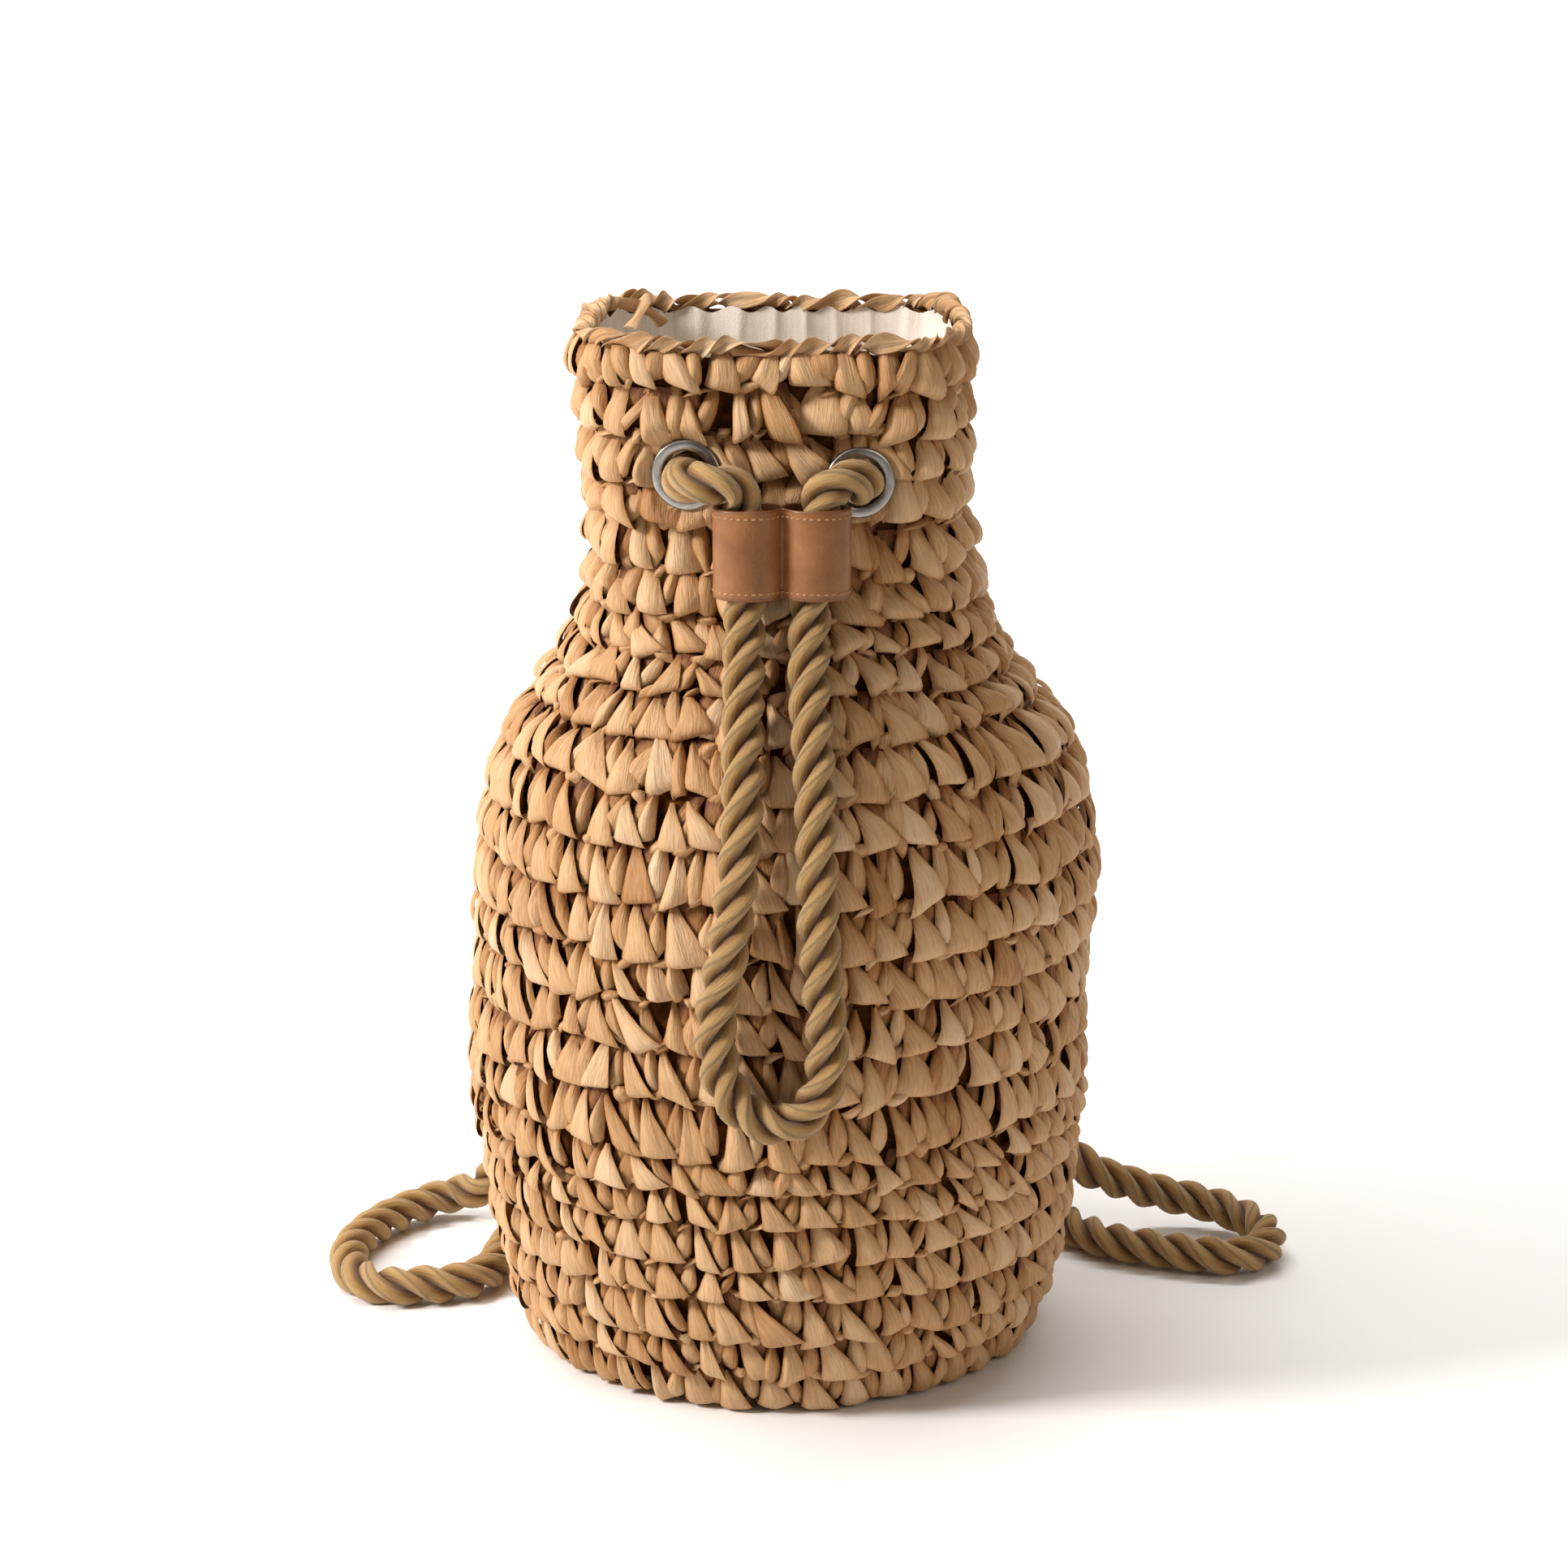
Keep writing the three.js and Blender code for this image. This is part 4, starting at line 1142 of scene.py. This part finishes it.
def add_ropes():
    stretches = [
        spline_points(STRAP_LEFT_ROUTE[::-1], LAID_POINTS),
        spline_points(DRAWSTRING_ROUTE, LAID_POINTS_FRONT),
        spline_points(STRAP_RIGHT_ROUTE, LAID_POINTS),
    ]
    stretches = [even_points(line, RING_STEP) for line in stretches]
    whole = np.concatenate(stretches)
    sides, ups = carried_frames(whole)
    distance = lengths_along(whole)
    start = 0
    for cord, line in zip(CORDS, stretches):
        part = slice(start, start + len(line))
        patches = lay_strands(whole[part], sides[part], ups[part], distance[part])
        piece = patches.build("rope_" + cord["name"], "rope", "rope", cord["name"])
        start += len(line)


# The stopper knots inside the bag: an overhand knot in the same rope, drawn tight

KNOT_SCALE = 0.0031
KNOT_FLATNESS = 0.0046
KNOT_ROPE = 0.82
KNOT_POINTS = 120


def add_knots():
    for side in ("left", "right"):
        low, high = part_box("knot_" + side)
        eyelet = EYELETS["eyelet_base_" + side]
        sideways, upwards = across_eyelet(eyelet)
        turn = np.linspace(0, 2 * math.pi, KNOT_POINTS + 1)[:-1]
        loop = (
            np.outer((np.sin(turn) + 2 * np.sin(2 * turn)) * KNOT_SCALE, sideways)
            + np.outer((np.cos(turn) - 2 * np.cos(2 * turn)) * KNOT_SCALE, upwards)
            + np.outer(-np.sin(3 * turn) * KNOT_FLATNESS, eyelet["outward"])
        ) + (np.array(low) + np.array(high)) / 2
        loop = even_points(np.concatenate([loop, loop[:1]]), RING_STEP)
        patches = lay_strands(loop, *carried_frames(loop), lengths_along(loop), KNOT_ROPE)
        patches.build("rope_knot_" + side, "rope", "rope", "knot_" + side)


# The slider: a leather band round both legs of the loop, sewn through its middle

SLIDER_WALL = 0.002
SLIDER_SEAM = 0.0044
SLIDER_EDGE = 0.0006
SLIDER_POINTS = 120
SLIDER_SPACING = 0.8
SLIDER_SMOOTHING = 1.2
SLIDER_BELLY = 0.006
SLIDER_PINCH = 0.0001
LEATHER_TINT = 0.55
LEATHER_EDGE_TINT = 0.25

# The band's rows at each end, from its inside to its outside: how far in, and how far from the end
SLIDER_EASED = SLIDER_EDGE * 0.3
SLIDER_END = [
    (SLIDER_WALL, SLIDER_EDGE), (SLIDER_WALL - SLIDER_EASED, SLIDER_EASED), (SLIDER_WALL - SLIDER_EDGE, 0),
    (SLIDER_EDGE, 0), (SLIDER_EASED, SLIDER_EASED), (0, SLIDER_EDGE), (0.0001, 0.0011), (0, 0.0018),
]

STITCH_LENGTH = 0.0016
STITCH_GAP = 0.0025
STITCH_INSET = 0.0026
THREAD_RADIUS = 0.00035
THREAD_STEPS = 7
THREAD_SIDES = 8
THREAD_END = 0.02
NEARLY_UPRIGHT = 0.9


def slider_outline(middle, size, inset):
    """The band's outline seen from above, moved inwards by inset: round over each channel and
    pinched at the seam."""
    turn = np.linspace(0, 2 * math.pi, SLIDER_POINTS, endpoint=False)
    half_x, half_y = size[0] / 2 - inset, size[1] / 2 - inset
    across = np.cos(turn)
    shape = np.sign(across) * np.abs(across) ** SLIDER_SPACING
    from_seam = np.abs(shape) * half_x
    channel = half_x / 2
    reach = np.clip(np.abs(from_seam - channel) / channel, 0, 1)
    lobe = np.sqrt(1 - reach ** 2) * half_y
    pinch = max(SLIDER_SEAM / 2 - inset, SLIDER_PINCH)
    depth = np.where(from_seam < channel, np.maximum(lobe, pinch), lobe)
    return np.stack([middle[0] + shape * half_x, middle[1] + np.sign(np.sin(turn)) * depth], axis=1)


def rounded_outline(middle, size, inset):
    """The outline with even steps and its pinch eased."""
    outline = slider_outline(middle, size, inset)
    closed = np.concatenate([outline, outline[:1]])
    lengths = lengths_along(closed)
    places = np.linspace(0, lengths[-1], SLIDER_POINTS, endpoint=False)
    even = np.stack([np.interp(places, lengths, closed[:, axis]) for axis in range(2)], axis=1)
    return smoothed_round(even, SLIDER_SMOOTHING)


def add_slider():
    low, high = (np.array(corner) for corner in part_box("slider"))
    middle, size = (low + high) / 2, high - low
    rows = [(inset, low[2] + rise) for inset, rise in SLIDER_END]
    rows += [(0, middle[2] + rise) for rise in (-SLIDER_BELLY, 0, SLIDER_BELLY)]
    rows += [(inset, high[2] - drop) for inset, drop in reversed(SLIDER_END)]
    rows += [(SLIDER_WALL, middle[2]), rows[0]]
    grid = np.array([np.insert(rounded_outline(middle, size, inset), 2, height, axis=1)
                     for inset, height in rows])
    # Rows 7 to 12 are the outer face. The cut edges and the inside are darker.
    tints = np.full((len(rows), 1), LEATHER_EDGE_TINT)
    tints[7:13] = LEATHER_TINT
    places = grid * TO_MILLIMETRES
    patches = Patches().add(grid, places[..., 0], places[..., 2], tints)
    patches.build("leather_slider", "leather", "leather", "slider")
    add_slider_thread(rounded_outline(middle, size, 0), low, high, middle)


def add_slider_thread(outline, low, high, middle):
    """Short stitches along both edges and up the seam."""
    closed = np.concatenate([outline, outline[:1]])
    lengths = lengths_along(closed)
    stitches = []
    for place in np.arange(0, lengths[-1] - STITCH_GAP / 2, STITCH_GAP):
        ends = [np.array([np.interp((place + shift) % lengths[-1], lengths, closed[:, axis])
                          for axis in range(2)]) for shift in (0, STITCH_LENGTH)]
        for height in (low[2] + STITCH_INSET, high[2] - STITCH_INSET):
            stitches.append([np.append(end, height) for end in ends])
    for height in np.arange(low[2] + 2 * STITCH_INSET, high[2] - 2 * STITCH_INSET, STITCH_GAP):
        for side in (-1, 1):
            stitches.append([np.array([middle[0], middle[1] + side * SLIDER_SEAM / 2, height + shift])
                             for shift in (0, STITCH_LENGTH)])
    steps = np.linspace(0, 1, THREAD_STEPS)
    turns = circle(THREAD_SIDES)
    swell = THREAD_RADIUS * np.sqrt(np.maximum(1 - (2 * steps - 1) ** 4, THREAD_END))
    grids = []
    for first, last in stitches:
        direction = (last - first) / np.linalg.norm(last - first)
        side = np.cross(direction, UP if abs(direction[2]) < NEARLY_UPRIGHT else np.array([1.0, 0, 0]))
        side /= np.linalg.norm(side)
        line = first + steps[:, None] * (last - first)
        ring = wound(turns, side, np.cross(direction, side))
        grids.append(line[:, None] + swell[:, None, None] * ring[None])
    patches = Patches().add(np.array(grids), 0.0, 0.0, PLAIN_TINT)
    patches.build("slider_thread", "thread", "leather", "slider")


# The studio

FLOOR_REACH = 6
SWEEP_START = 3.0
SWEEP_RADIUS = 1.5
SWEEP_STEPS = 24
WORLD_COLOUR = (1.0, 0.94, 0.86, 1)
WORLD_STRENGTH = 0.13

# Each light's name, place, target, size, power in watts and colour
LIGHTS = [
    ("window", (-1.7, -0.55, 1.2), (0, 0, 0.2), (0.45, 0.55), 50, (1.0, 0.975, 0.96)),
    ("reflector", (1.2, -0.9, 0.9), (0, 0, 0.3), (0.7, 0.7), 4.5, (1.0, 0.88, 0.74)),
    ("overhead", (-0.7, -0.2, 2.0), (0, 0, 0.2), (1.2, 1.2), 17, (1.0, 0.98, 0.96)),
    ("backdrop", (0, 1.2, 2.4), (0, 3.6, 0.4), (3.0, 1.0), 180, (1.0, 1.0, 1.0)),
]


def add_light(name, location, target, size, power, colour):
    data = bpy.data.lights.new(name, "AREA")
    data.shape = "RECTANGLE"
    data.size, data.size_y = size
    data.energy = power
    data.color = colour
    light = new_object(name, data)
    light.location = location
    heading = Vector(target) - Vector(location)
    light.rotation_euler = heading.to_track_quat("-Z", "Y").to_euler()


def sweep_profile():
    """The floor from front to back, and the curve and wall that it runs up into."""
    turns = np.linspace(0, math.pi / 2, SWEEP_STEPS)
    curve = [(SWEEP_START + SWEEP_RADIUS * math.sin(turn), SWEEP_RADIUS * (1 - math.cos(turn)))
             for turn in turns]
    return [(-FLOOR_REACH, 0), *curve, (SWEEP_START + SWEEP_RADIUS, FLOOR_REACH)]


def add_studio():
    mesh = bpy.data.meshes.new("floor")
    profile = sweep_profile()
    points = [(side, y, z) for y, z in profile for side in (-FLOOR_REACH, FLOOR_REACH)]
    faces = [(2 * row, 2 * row + 1, 2 * row + 3, 2 * row + 2) for row in range(len(profile) - 1)]
    mesh.from_pydata(points, [], faces)
    mesh.polygons.foreach_set("use_smooth", [True] * len(faces))
    mesh.materials.append(LOOKS["floor"])
    new_object("floor", mesh)
    world = bpy.data.worlds.new("studio")
    world.use_nodes = True
    background = world.node_tree.nodes["Background"]
    background.inputs["Color"].default_value = WORLD_COLOUR
    background.inputs["Strength"].default_value = WORLD_STRENGTH
    bpy.context.scene.world = world
    for light in LIGHTS:
        add_light(*light)
    bpy.context.scene.view_settings.view_transform = "Standard"


add_camera()
add_ropes()
add_knots()
add_stitches()
add_painted_shade_sheet()
add_rim_chain()
add_loose_ends()
add_lining()
add_eyelets()
add_slider()
add_studio()
